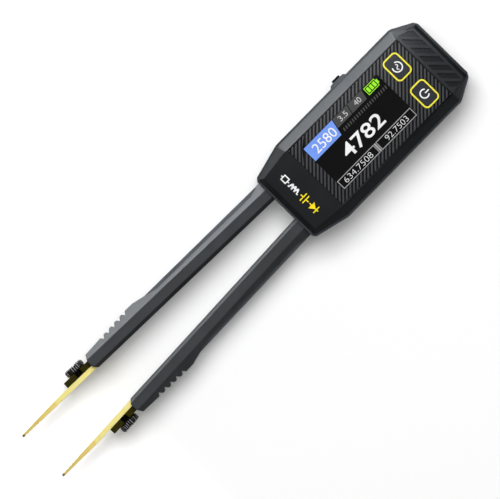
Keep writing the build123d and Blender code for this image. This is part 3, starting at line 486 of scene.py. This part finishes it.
ARM_PLASTIC = moulded("arm_plastic", "#292a2c", "#46474b", 0.36, 0.6)
ARM_REAR_PLASTIC = moulded("arm_rear_plastic", "#53565b", "#777b81", 0.4, 0.3)
FINISHES = {
    # the graphite plastic carries painted light and shade on the head's far slope
    "graphite_plastic": moulded("graphite_plastic", "#0b0c0e", "#202226", 0.36, 0.5, paints_slot_light_and_shade=True),
    "grey_plastic": moulded("grey_plastic", "#303236", "#4a4d51", 0.4, 0.3),
    "striped_panel": striped(),
    "display_glass": glass(),
    "button_cap": moulded("button_cap", "#27282c", "#3b3c41", 0.5, 0.25, 0.003),
    "yellow_ring": moulded("yellow_ring", "#fbf03a", "#fff36a", 0.4, 0.3, 0.002),
    "black_plastic": moulded("black_plastic", "#0a0a0b", "#17171a", 0.5, 0.04),
    "battery_foil": foil(),
    "circuit_board": board(),
    "bright_steel": metal("bright_steel", "#c9cacd", "#8e9094", 0.28, (0.4, 9.0, 9.0)),
    "root_steel": metal("root_steel", "#a5a6a9", "#6c6e72", 0.36, (5.0, 0.3, 5.0)),
    "lug_laminate": laminate(),
    "gold_plate": gold(),
    "black_metal": knurled_black(),
    "lead_rubber": rubber(),
}
WHITE_LIT = lit("lit_white", "#ffffff")
BLUE_LIT = lit("lit_blue", "#7ba4ff")
GREEN_LIT = lit("lit_green", "#a6ff2b")
GREY_LIT = lit("lit_grey", "#4a4a4a")
PALE_LIT = lit("lit_pale_grey", "#a8a8a8")
FIGURE_LIT = lit("lit_figures_grey", "#cfcfcf")
TICK_LIT = lit("lit_tick_grey", "#4c4c4c")
WHITE_INK = printed("white_ink", "#f2f2f2")
YELLOW_INK = printed("yellow_ink", "#ffe619")
LABEL_FILM = printed("label_film", "#9fa1a4", 0.38)

SLOT_OF = {}
for name, node in frame["nodes"].items():
    SLOT_OF[name] = node.material_slots[0].material.name
    node.material_slots[0].material = FINISHES[SLOT_OF[name]]

# ------------------------------------------------------------------ making pieces


def smooth(mesh):
    """Smooth shading that keeps the sharp edges."""
    mesh.shade_smooth()
    mesh.set_sharp_from_angle(angle=SHARP_ANGLE)


def finished(name, shape, body, slot, finish=None, instead_of=None, bend=None):
    """Turns a shape in millimetres into a piece that rides on a body, or that stays where it is
    when a bend is given.
    """
    bmesh.ops.scale(shape, vec=(MM, MM, MM), verts=shape.verts)
    mesh = bpy.data.meshes.new(name)
    shape.to_mesh(mesh)
    shape.free()
    mesh.materials.append(finish or FINISHES[slot])
    smooth(mesh)
    made = bpy.data.objects.new(name, mesh)
    bpy.context.scene.collection.objects.link(made)
    if bend:
        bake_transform(made)
    else:
        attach(made, body)
    if instead_of:
        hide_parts(instead_of)
    return made


def copied(node):
    """A CAD node's shape in millimetres, joined up and with its flats undivided."""
    shape = bmesh.new()
    shape.from_mesh(frame["nodes"][node].data)
    bmesh.ops.scale(shape, vec=(1 / MM, 1 / MM, 1 / MM), verts=shape.verts)
    bmesh.ops.remove_doubles(shape, verts=shape.verts, dist=WELD)
    bmesh.ops.dissolve_limit(
        shape,
        angle_limit=FLAT_ANGLE,
        use_dissolve_boundaries=False,
        verts=shape.verts,
        edges=shape.edges,
    )
    return shape


def in_slots(vert):
    """Whether a corner lies among the slots of the far slope, which keep crisp edges."""
    return CRISP_X[0] < vert.co.x < CRISP_X[1] and vert.co.z > CRISP_Z


def softened(node, width, finish=None):
    """Stands a copy with rounded outer edges in a CAD node's place."""
    shape = copied(node)
    edges = [
        edge
        for edge in shape.edges
        if edge.is_manifold
        and edge.is_convex
        and edge.calc_face_angle() > EDGE_ANGLE
        and not all(in_slots(vert) for vert in edge.verts)
    ]
    bmesh.ops.bevel(
        shape,
        geom=edges,
        offset=width,
        offset_type="OFFSET",
        affect="EDGES",
        segments=2,
        profile=0.5,
        material=-1,
        clamp_overlap=False,
    )
    body = frame["nodes"][node]["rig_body"]
    made = finished(f"{node}_soft", shape, body, SLOT_OF[node], finish, instead_of=node)
    flats = made.modifiers.new("true_flats", "WEIGHTED_NORMAL")
    flats.mode = "FACE_AREA"
    flats.keep_sharp = True
    return made


ARC_STEP = 8  # degrees
RIDGE_FULLNESS = 0.8  # below 1, a knurl's ridges are broader than its grooves


def plate(shape, corners, low, high):
    """A flat plate through the given corners, between two heights."""
    face = shape.faces.new([shape.verts.new((x, y, low)) for x, y in corners])
    raised = bmesh.ops.extrude_face_region(shape, geom=[face])["geom"]
    top = [item for item in raised if isinstance(item, bmesh.types.BMVert)]
    bmesh.ops.translate(shape, vec=(0, 0, high - low), verts=top)


def bar(shape, x0, x1, y0, y1, low, high):
    """A flat plate with four square corners."""
    plate(shape, [(x0, y0), (x1, y0), (x1, y1), (x0, y1)], low, high)


def arc(shape, centre, radius, stroke, start, sweep, low, high):
    """Part of a flat ring; angles in degrees from +X towards +Y."""
    inner, outer = radius - stroke / 2, radius + stroke / 2
    section = [(inner, low), (outer, low), (outer, high), (inner, high)]
    face = shape.faces.new([shape.verts.new((r, 0, z)) for r, z in section])
    before = set(shape.verts)
    first = list(face.verts)
    bmesh.ops.spin(
        shape,
        geom=[face, *face.edges, *face.verts],
        cent=(0, 0, 0),
        axis=(0, 0, 1),
        dvec=(0, 0, 0),
        angle=radians(sweep),
        steps=round(sweep / ARC_STEP),
        use_merge=False,
        use_duplicate=False,
    )
    moved = first + [vert for vert in shape.verts if vert not in before]
    place = Matrix.Translation((*centre, 0)) @ Matrix.Rotation(radians(start), 4, "Z")
    bmesh.ops.transform(shape, matrix=place, verts=moved)


def turned(shape, rings, steps, place):
    """Rings joined into a closed shape around its own z axis, then placed.

    Each ring is a radius, the depth of its knurl, a height and how rubbed its ridges are.
    """
    proud = shape.verts.layers.float.get("ridge") or shape.verts.layers.float.new("ridge")
    made = bmesh.ops.create_circle(shape, cap_ends=True, segments=steps, radius=1.0)["verts"]
    everything = list(made)
    cap = next(face for face in made[0].link_faces if len(face.verts) == steps)
    for number, (radius, groove, height, rubbed) in enumerate(rings):
        if number:
            grown = bmesh.ops.extrude_face_region(shape, geom=[cap])["geom"]
            if number > 1:
                bmesh.ops.delete(shape, geom=[cap], context="FACES_ONLY")
            cap = next(item for item in grown if isinstance(item, bmesh.types.BMFace))
            made = list(cap.verts)
            everything += made
        for vert in made:
            angle = atan2(vert.co.y, vert.co.x)
            ridge = (0.5 + 0.5 * cos(KNURLS * angle)) ** RIDGE_FULLNESS
            reach = radius - groove * (1 - ridge)
            vert.co = (reach * cos(angle), reach * sin(angle), height)
            vert[proud] = rubbed * ridge if groove else rubbed
    bmesh.ops.transform(shape, matrix=place, verts=everything)


def closed(shape):
    """Faces turned outwards on a shape of closed plates."""
    bmesh.ops.recalc_face_normals(shape, faces=shape.faces)
    return shape


# ------------------------------------------------------------------ softened shells

SHELL_EDGE = 0.12
BLADE_EDGE = 0.09
PANEL_EDGE = 0.05
BUTTON_EDGE = 0.14
BEZEL_EDGE = 0.08
LEVER_EDGE = 0.1

for node in ("front_cover", "rear_cover"):
    softened(node, SHELL_EDGE)
for side in SIDES:
    softened(f"{side}_arm_front_shell", SHELL_EDGE, finish=ARM_PLASTIC)
    softened(f"{side}_arm_rear_shell", SHELL_EDGE, finish=ARM_REAR_PLASTIC)
    softened(f"{side}_blade", BLADE_EDGE)
softened("striped_panel", PANEL_EDGE)
for key in ("mode", "power"):
    softened(f"{key}_button", BUTTON_EDGE)
    softened(f"{key}_button_bezel", BEZEL_EDGE)
softened("side_lever", LEVER_EDGE)

# ------------------------------------------------------------------ what the display shows

LIT_THICK = 0.02
TILE_TOP_Z = GLASS_Z + LIT_THICK
TEXT_THICK = 0.012
RAW_TEXT_DEPTH = 0.01  # before the figures are scaled to their height, width and thickness
TILE_HIGH = 6.95
TILE_LOW = 2.8
SMALL_TILE_LOW = 4.5
TILE_SLANT = 0.22  # run of the slanted ends for each millimetre of height
BLUE_TILE = (0.05, 9.9)
SMALL_TILES = ((10.1, 15.0), (15.2, 20.1))
GAUGE = (20.6, 24.2, 4.65, 6.8)
GAUGE_LINE = 0.19
GAUGE_GAP = 0.24
GAUGE_BARS = 3
GAUGE_NUB = 0.45
TICK_ROW = (10.0, 25.2)
TICK_PITCH = 0.754
TICK_WIDTH = 0.34
TICK_HIGH = 3.65
BOXES = ((0.1, 12.6), (13.4, 25.3))
BOX_ROW = (-6.95, -4.4)
BOX_LINE = 0.2
BOX_DIVIDER = (12.75, 13.25)
FIGURE_WELD = 0.0001


def on_glass(u):
    """X of a point u millimetres from the window's end by the arms."""
    return WINDOW_LOW.x + u


def lit_bar(shape, start, end, low, high):
    """A square-ended bar on the display."""
    bar(shape, on_glass(start), on_glass(end), low, high, GLASS_Z, TILE_TOP_Z)


def frame_lines(shape, start, end, low, high, line):
    """The four sides of an open box on the display."""
    lit_bar(shape, start, end, low, low + line)
    lit_bar(shape, start, end, high - line, high)
    for u in (start, end - line):
        lit_bar(shape, u, u + line, low + line, high - line)


def slanted_tile(shape, start, end, low, high, slant_start=True):
    """A display tile whose ends lean as its height falls."""
    lean = TILE_SLANT * (high - low)
    corners = [
        (on_glass(start - (lean if slant_start else 0)), low),
        (on_glass(end - lean), low),
        (on_glass(end), high),
        (on_glass(start), high),
    ]
    plate(shape, corners, GLASS_Z, TILE_TOP_Z)


def text_shape(text, left, foot, height, width, base_z, weight):
    """Flat raised figures filling a height and width from their lower left end.

    A weight above 0 swells the strokes, and one below 0 thins them.
    """
    curve = bpy.data.curves.new("figures", "FONT")
    curve.body = text
    curve.offset = weight
    curve.extrude = RAW_TEXT_DEPTH
    holder = bpy.data.objects.new("figures", curve)
    bpy.context.scene.collection.objects.link(holder)
    bpy.context.view_layer.update()
    mesh = bpy.data.meshes.new_from_object(holder)
    shape = bmesh.new()
    shape.from_mesh(mesh)
    bpy.data.objects.remove(holder)
    bpy.data.curves.remove(curve)
    bpy.data.meshes.remove(mesh)
    bmesh.ops.remove_doubles(shape, verts=shape.verts, dist=FIGURE_WELD)
    low = [min(v.co[axis] for v in shape.verts) for axis in range(3)]
    high = [max(v.co[axis] for v in shape.verts) for axis in range(3)]
    bmesh.ops.translate(shape, vec=(-low[0], -low[1], -low[2]), verts=shape.verts)
    wanted = (width, height, TEXT_THICK)
    sizes = [wanted[axis] / (high[axis] - low[axis]) for axis in range(3)]
    bmesh.ops.scale(shape, vec=sizes, verts=shape.verts)
    bmesh.ops.translate(shape, vec=(on_glass(left), foot, base_z), verts=shape.verts)
    return shape


blue = bmesh.new()
slanted_tile(blue, *BLUE_TILE, TILE_LOW, TILE_HIGH, slant_start=False)
finished("mode_tile", closed(blue), "head", "display_glass", BLUE_LIT)

small = bmesh.new()
for start, end in SMALL_TILES:
    slanted_tile(small, start, end, SMALL_TILE_LOW, TILE_HIGH)
finished("setting_tiles", closed(small), "head", "display_glass", GREY_LIT)

gauge = bmesh.new()
left, right, foot, head = GAUGE
line, gap = GAUGE_LINE, GAUGE_GAP
frame_lines(gauge, left, right, foot, head, line)
nub_side = (head - foot) / 4
lit_bar(gauge, right, right + GAUGE_NUB, foot + nub_side, head - nub_side)
step = (right - left - 2 * line - gap) / GAUGE_BARS
for number in range(GAUGE_BARS):
    u = left + line + gap + number * step
    lit_bar(gauge, u, u + step - gap, foot + line + gap, head - line - gap)
finished("battery_gauge", closed(gauge), "head", "display_glass", GREEN_LIT)

ticks = bmesh.new()
u = TICK_ROW[0] + TICK_PITCH / 2
while u + TICK_WIDTH < TICK_ROW[1]:
    slanted_tile(ticks, u, u + TICK_WIDTH, TILE_LOW, TICK_HIGH)
    u += TICK_PITCH
finished("scale_ticks", closed(ticks), "head", "display_glass", TICK_LIT)

boxes = bmesh.new()
for start, end in BOXES:
    frame_lines(boxes, start, end, *BOX_ROW, BOX_LINE)
lit_bar(boxes, *BOX_DIVIDER, *BOX_ROW)
finished("reading_boxes", closed(boxes), "head", "display_glass", PALE_LIT)

# Name, figures, left end, foot, height, width, base height, weight and light
READINGS = (
    ("mode_figures", "2580", 1.7, 3.55, 2.5, 7.0, TILE_TOP_Z, 0.0, WHITE_LIT),
    ("first_setting_figures", "3.5", 11.2, 5.05, 1.4, 2.6, TILE_TOP_Z, 0.0, FIGURE_LIT),
    ("second_setting_figures", "40", 16.5, 5.05, 1.4, 2.0, TILE_TOP_Z, 0.0, FIGURE_LIT),
    ("main_reading", "4782", 6.1, -2.85, 3.7, 12.9, GLASS_Z, 0.01, WHITE_LIT),
    ("left_reading", "634.7508", 1.6, -6.4, 1.45, 9.3, GLASS_Z, -0.018, WHITE_LIT),
    ("right_reading", "92.7503", 15.9, -6.4, 1.45, 7.3, GLASS_Z, -0.018, WHITE_LIT),
)
for name, text, left, foot, height, width, base_z, weight, light in READINGS:
    shape = text_shape(text, left, foot, height, width, base_z, weight)
    finished(name, shape, "head", "display_glass", light)

# ------------------------------------------------------------------ printed symbols

INK_THICK = 0.015
ARM_END_SLOPE = radians(7.6)
FOLD_GAP = 0.1
SYMBOL_ROW_X = -22.2
SYMBOL_STROKE = 0.3
COIL_HEIGHT = 2.6
COIL_TURNS = 3


def symbol_place():
    """From flat artwork, read along x, to the slope by the arms, read towards -Y."""
    fold_x = PANEL_LOW.x - FOLD_GAP
    height = COVER_HIGH.z - (fold_x - SYMBOL_ROW_X) * tan(ARM_END_SLOPE)
    across = Vector((0, -1, 0))
    up = Vector((cos(ARM_END_SLOPE), 0, sin(ARM_END_SLOPE)))
    out = across.cross(up)
    place = Matrix((across, up, out)).transposed().to_4x4()
    return Matrix.Translation((SYMBOL_ROW_X, 0, height)) @ place


def stroke_along(shape, x0, x1):
    """A straight stroke of ink along x, on the middle line."""
    half = SYMBOL_STROKE / 2
    bar(shape, x0, x1, -half, half, 0, INK_THICK)


def stroke_up(shape, x, half):
    """A straight stroke of ink across x, as far above the middle line as below it."""
    bar(shape, x, x + SYMBOL_STROKE, -half, half, 0, INK_THICK)


def resistor(shape, x0, x1):
    """A box with a lead at each end."""
    lead, half = (x1 - x0) * 0.16, 0.85
    stroke = SYMBOL_STROKE
    stroke_along(shape, x0, x0 + lead)
    stroke_along(shape, x1 - lead, x1)
    bar(shape, x0 + lead, x1 - lead, half - stroke, half, 0, INK_THICK)
    bar(shape, x0 + lead, x1 - lead, -half, -half + stroke, 0, INK_THICK)
    for x in (x0 + lead, x1 - lead - stroke):
        stroke_up(shape, x, half - stroke)


def coil(shape, x0, x1):
    """Tall half turns in a row with a lead at each end."""
    lead, foot, stroke = (x1 - x0) * 0.1, -0.75, SYMBOL_STROKE
    reach = (x1 - x0 - 2 * lead) / (2 * COIL_TURNS)
    before = set(shape.verts)
    for number in range(COIL_TURNS):
        centre = (x0 + lead + (2 * number + 1) * reach, 0)
        arc(shape, centre, reach - stroke / 8, stroke, 0, 180, 0, INK_THICK)
    humps = [vert for vert in shape.verts if vert not in before]
    bmesh.ops.scale(shape, vec=(1, COIL_HEIGHT, 1), verts=humps)
    bmesh.ops.translate(shape, vec=(0, foot, 0), verts=humps)
    bar(shape, x0, x0 + lead, foot, foot + stroke, 0, INK_THICK)
    bar(shape, x1 - lead, x1, foot, foot + stroke, 0, INK_THICK)


def capacitor(shape, x0, x1):
    """Two plates with a lead to each."""
    middle, gap, half = (x0 + x1) / 2, 0.28, 1.2
    stroke = SYMBOL_STROKE
    for x in (middle - gap - stroke, middle + gap):
        stroke_up(shape, x, half)
    stroke_along(shape, x0, middle - gap - stroke)
    stroke_along(shape, middle + gap + stroke, x1)


def diode(shape, x0, x1):
    """A triangle against a bar with a lead at each end."""
    half = 1.05
    start, end = x0 + (x1 - x0) * 0.22, x1 - (x1 - x0) * 0.26
    plate(shape, [(start, -half), (end, 0), (start, half)], 0, INK_THICK)
    stroke_up(shape, end, half)
    stroke_along(shape, x0, start)
    stroke_along(shape, end + SYMBOL_STROKE, x1)


for name, ink, drawings in (
    ("white_symbols", WHITE_INK, ((resistor, -6.3, -3.7), (coil, -3.5, -0.2))),
    ("yellow_symbols", YELLOW_INK, ((capacitor, 0.3, 2.9), (diode, 3.3, 6.2))),
):
    shape = bmesh.new()
    for draw, start, end in drawings:
        draw(shape, start, end)
    bmesh.ops.transform(shape, matrix=symbol_place(), verts=shape.verts)
    finished(name, closed(shape), "head", "graphite_plastic", ink)


def button_top(key):
    """Middle of a front button's top."""
    low, high = box_mm(f"{key}_button")
    return (low.x + high.x) / 2, (low.y + high.y) / 2, high.z


# Each button's symbol: arcs by their place across, radius, stroke, first angle and sweep,
# and bars by their two ends and half width
MODE_ARCS = (
    (0.0, 1.24, 0.32, 150, 290),
    (0.34, 0.34, 0.22, 270, 180),
    (-0.34, 0.34, 0.22, 90, 180),
)
POWER_ARCS = ((0.0, 1.08, 0.32, 42, 276),)
POWER_BARS = ((0.2, 1.45, 0.16),)

for key, arcs, bars in (("mode", MODE_ARCS, ()), ("power", POWER_ARCS, POWER_BARS)):
    x, y, z = button_top(key)
    icon = bmesh.new()
    for aside, radius, stroke, start, sweep in arcs:
        arc(icon, (x, y + aside), radius, stroke, start, sweep, z, z + INK_THICK)
    for near, far, half in bars:
        bar(icon, x + near, x + far, y - half, y + half, z, z + INK_THICK)
    finished(f"{key}_icon", closed(icon), f"{key}_key", "button_cap", WHITE_INK)

# ------------------------------------------------------------------ thumb screws

KNURLS = 28
STEPS_PER_KNURL = 8
SHANK_RADIUS = 0.8
SHANK_STEPS = 24
SHANK_LENGTH = 3.0
SHANK_IN_KNOB = 0.05
THREAD_DEPTH = 0.1
THREAD_PITCH = 0.35


def arm_place(x, y, side):
    """From a shape along z to the arm's outward direction at a point of the arm's frame."""
    along = Vector((cos(ARM_YAW), -sin(ARM_YAW), 0))
    outwards = Vector((sin(ARM_YAW), cos(ARM_YAW), 0))
    up = outwards.cross(along)
    point = Vector((-HEAD_END_X, ARM_ROOT_Y, ARM_MIDDLE_Z)) + along * x + outwards * y
    turn = Matrix((along, up, outwards)).transposed().to_4x4()
    mirror = Matrix.Diagonal((1, SIDES[side], 1, 1))
    return mirror @ Matrix.Translation(point) @ turn


# Rings of the knob from its base: radius, depth of the knurl, height, how rubbed
KNOB_RINGS = (
    (2.3, 0.0, 0.0, 0.0),
    (2.5, 0.08, 0.0, 0.0),
    (2.65, 0.22, 0.12, 1.0),
    (2.65, 0.22, 1.15, 1.0),
    (2.5, 0.1, 1.28, 0.97),
    (2.37, 0.0, 1.4, 0.95),
    (2.2, 0.0, 1.55, 0.9),
    (1.95, 0.0, 1.55, 0.0),
    (1.85, 0.0, 1.46, 0.0),
    (0.3, 0.0, 1.46, 0.0),
)

for side in SIDES:
    shape = bmesh.new()
    place = arm_place(CLAMP_X, KNOB_BASE_Y, side)
    turned(shape, KNOB_RINGS, KNURLS * STEPS_PER_KNURL, place)
    threads = int(SHANK_LENGTH / THREAD_PITCH)
    root = SHANK_RADIUS - THREAD_DEPTH
    thread = [(root, 0.0, -SHANK_LENGTH, 0.0)]
    for number in range(threads):
        height = -SHANK_LENGTH + (number + 0.5) * THREAD_PITCH
        thread.append((SHANK_RADIUS, 0.0, height, 0.0))
        thread.append((root, 0.0, height + THREAD_PITCH / 2, 0.0))
    thread.append((root, 0.0, SHANK_IN_KNOB, 0.0))
    turned(shape, thread, SHANK_STEPS, place)
    name = f"{side}_thumb_screw"
    finished(f"{name}_fine", closed(shape), f"{side}_clamp_screw", "black_metal", instead_of=name)

# ------------------------------------------------------------------ springs and leads

SPRING_CUTS = 14


def bent(node, side):
    """Stands a copy, sliced across between the root block and the arm's end, that stays where it
    is.
    """
    shape = copied(node)
    near, far = BLOCK_END_X, ARM_HIGH.x
    for number in range(SPRING_CUTS + 1):
        x = near + (far - near) * number / SPRING_CUTS
        everything = [*shape.verts, *shape.edges, *shape.faces]
        bmesh.ops.bisect_plane(shape, geom=everything, plane_co=(x, 0, 0), plane_no=(1, 0, 0))
    low, high = box_mm(node)
    y, z = (low.y + high.y) / 2 * MM, (low.z + high.z) / 2 * MM
    bend = {
        "bodies": ("head", f"{side}_arm"),
        "start": (near * MM, y, z),
        "end": (far * MM, y, z),
    }
    finished(f"{node}_bent", shape, None, SLOT_OF[node], instead_of=node, bend=bend)


for side in SIDES:
    bent(f"{side}_leaf_spring", side)
    bent(f"{side}_arm_lead", side)

# ------------------------------------------------------------------ back and socket

LABEL_ROUND = 1.2
LABEL_THICK = 0.1
LABEL_BOX = (2.1, 18.9, -6.4, 6.4)
LABEL_DEPTH = 0.15

shape = bmesh.new()
bar(shape, *LABEL_BOX, LABEL_DEPTH - LABEL_THICK, LABEL_DEPTH)
corners = [
    edge
    for edge in shape.edges
    if abs(edge.verts[0].co.z - edge.verts[1].co.z) > LABEL_THICK / 2
]
bmesh.ops.bevel(
    shape,
    geom=corners,
    offset=LABEL_ROUND,
    offset_type="OFFSET",
    affect="EDGES",
    segments=6,
    profile=0.5,
    material=-1,
)
finished("bare_label", closed(shape), "head", "grey_plastic", LABEL_FILM)

CONTACTS = 12
CONTACT_PITCH = 0.5
CONTACT_HALF = 0.13
CONTACT_LENGTH = 3.2
CONTACT_THICK = 0.02
CONTACT_FROM_END = 0.4
TONGUE_LENGTH = 4.5
TONGUE_EXTRA = 0.02
TONGUE_HALF = 3.37
TONGUE_HALF_THICK = 0.36
MOUTH_DEPTH = 6.2

socket_z = (SOCKET_LOW.z + SOCKET_HIGH.z) / 2
tongue_x = SOCKET_HIGH.x - MOUTH_DEPTH
shape = bmesh.new()
low, high = socket_z - TONGUE_HALF_THICK, socket_z + TONGUE_HALF_THICK
end = tongue_x + TONGUE_LENGTH + TONGUE_EXTRA
bar(shape, tongue_x, end, -TONGUE_HALF, TONGUE_HALF, low, high)
finished("socket_tongue", closed(shape), "head", "black_plastic")
shape = bmesh.new()
end = tongue_x + TONGUE_LENGTH - CONTACT_FROM_END
for number in range(CONTACTS):
    y = (number - (CONTACTS - 1) / 2) * CONTACT_PITCH
    for base in (high, low - CONTACT_THICK):
        sides = y - CONTACT_HALF, y + CONTACT_HALF
        bar(shape, end - CONTACT_LENGTH, end, *sides, base, base + CONTACT_THICK)
finished("socket_contacts", closed(shape), "head", "gold_plate")

# ------------------------------------------------------------------ studio

VIEW_TURN = radians(45.6)
VIEW_WIDTH = 121.4
VIEW_DISTANCE = 5000.0
VIEW_CENTRE = (-40.34, -0.83, 16.0)
SENSOR = 36.0
NEAREST, FARTHEST = 0.01, 20.0  # metres

camera = bpy.data.cameras.new("camera")
camera.sensor_width = SENSOR
camera.lens = SENSOR * VIEW_DISTANCE / VIEW_WIDTH
camera.clip_start = NEAREST
camera.clip_end = FARTHEST
viewpoint = bpy.data.objects.new("camera", camera)
viewpoint.location = Vector(VIEW_CENTRE) * MM + Vector((0, 0, VIEW_DISTANCE * MM))
viewpoint.rotation_euler = (0, 0, -VIEW_TURN)
bpy.context.scene.collection.objects.link(viewpoint)
bpy.context.scene.camera = viewpoint


def softbox(name, place, aim, size, power, bounces, unseen_by):
    """A rectangular lamp aimed at a point and unseen by one kind of ray; metres and watts."""
    lamp = bpy.data.lights.new(name, "AREA")
    lamp.shape = "RECTANGLE"
    lamp.size, lamp.size_y = size
    lamp.energy = power
    lamp.cycles.max_bounces = bounces
    holder = bpy.data.objects.new(name, lamp)
    holder.location = place
    holder.rotation_euler = (Vector(aim) - Vector(place)).to_track_quat("-Z", "Y").to_euler()
    holder.visible_camera = False
    setattr(holder, f"visible_{unseen_by}", False)
    bpy.context.scene.collection.objects.link(holder)


# Name, place, aim, size, power, bounces and the rays that don't see the lamp
LAMPS = (
    ("overhead_softbox", (0.14, 0.25, 0.94), (-0.02, 0, 0), (0.56, 0.56), 9.7, 12, "glossy"),
    ("near_panel", (0.014, 0.028, 0.036), (0.014, 0.028, 0), (0.052, 0.042), 0.022, 0, "diffuse"),
    ("side_panel", (0.376, 1.956, 0.4), (-0.04, 0, 0.01), (1.15, 0.9), 36.0, 0, "diffuse"),
)
for lamp in LAMPS:
    softbox(*lamp)

FLOOR_HALF = 1500.0
FLOOR_DROP = 0.02
# the floor's pale colour, and the darker colour painted on it as shade seen in reflections
FLOOR_PALE, FLOOR_REFLECTED_SHADE = 0.85, 0.4
FLOOR_GLOW = grey(0.15)
# painted light on the floor by the blades' tips
TIP_GLOW = (0.45, 0.45, 0.46, 1.0)
REFLECTED_SHADE_Y = (8.0, 16.0)  # where the painted shade on the floor seen in metal gives way to the pale floor
TIP_GLOW_X = (-104.0, -84.0)  # where the stronger glow by the blades' tips fades; this glow is painted light that lightens the blades' shadow

floor = bmesh.new()
bmesh.ops.create_grid(floor, x_segments=1, y_segments=1, size=FLOOR_HALF)
bmesh.ops.scale(floor, vec=(MM, MM, MM), verts=floor.verts)
floor_mesh = bpy.data.meshes.new("floor")
floor.to_mesh(floor_mesh)
floor.free()
floor_object = bpy.data.objects.new("floor", floor_mesh)
floor_object.location.z = -FLOOR_DROP * MM
bpy.context.scene.collection.objects.link(floor_object)
floor_paint = Finish("floor", Roughness=0.9, Specular_IOR_Level=0.0, Emission_Strength=1.0)
seen = floor_paint.node("ShaderNodeLightPath", output="Is Camera Ray")
mirrored = floor_paint.node("ShaderNodeLightPath", output="Is Glossy Ray")
floor_place = floor_paint.place()
reflected_shade_half = 1 - floor_paint.axis(floor_place, "Y").ramp(*REFLECTED_SHADE_Y)
# painted light: seen by the camera, the floor glows more by the blades' tips, which lightens
# their shadow there
painted_light_by_tips = 1 - floor_paint.axis(floor_place, "X").ramp(*TIP_GLOW_X)
glow = floor_paint.mix(painted_light_by_tips, FLOOR_GLOW, TIP_GLOW)
floor_paint.drive(
    # painted shade: seen in reflections, the floor is darker on the -Y side and under the object,
    # darkening the reflections in the facets that face that way
    Base_Color=floor_paint.mix(mirrored * reflected_shade_half, grey(FLOOR_PALE), grey(FLOOR_REFLECTED_SHADE)),
    Emission_Color=floor_paint.mix(seen, grey(0.0), glow),
)
floor_mesh.materials.append(floor_paint.material)

AMBIENT = 0.42
BRIGHT_SIDE = 1.0
DARK_SIDE = 0.04
CEILING = 0.25
ZENITH = 2.3
ZENITH_HALF = (radians(18), radians(10))  # outer and inner half angles of the bright zenith
WALL_RISE = (-0.1, 0.85)  # across, from the dark side to the bright one
CEILING_RISE = (0.1, 0.55)  # upwards, from the walls to the ceiling
FIRST_RAY = 1.5  # a ray depth past the first bounce and short of the second

world = bpy.data.worlds.new("studio")
world.use_nodes = True
bpy.context.scene.world = world
air = Studio(world.node_tree)
camera_ray, glossy_ray, clear_ray = [
    air.node("ShaderNodeLightPath", output=f"Is {kind} Ray")
    for kind in ("Camera", "Glossy", "Transmission")
]
direction = air.node("ShaderNodeTexCoord", output="Generated")
across, height = air.axis(direction, "Y"), air.axis(direction, "Z")
walls = DARK_SIDE + across.ramp(*WALL_RISE) * (BRIGHT_SIDE - DARK_SIDE)
overhead = height.ramp(*CEILING_RISE)
lamp_panel = height.ramp(*(cos(angle) for angle in ZENITH_HALF))
room = walls * (1 - overhead) + overhead * CEILING + lamp_panel * (ZENITH - CEILING)
first = air.node("ShaderNodeLightPath", output="Ray Depth") < FIRST_RAY
shine = (glossy_ray + clear_ray) * first * (1 - AMBIENT) + AMBIENT
strength = camera_ray + (1 - camera_ray) * room * shine
background = world.node_tree.nodes["Background"]
air.feed(background.inputs["Strength"], strength)
air.feed(background.inputs["Color"], grey(1.0))

bpy.context.scene.view_settings.view_transform = "Standard"
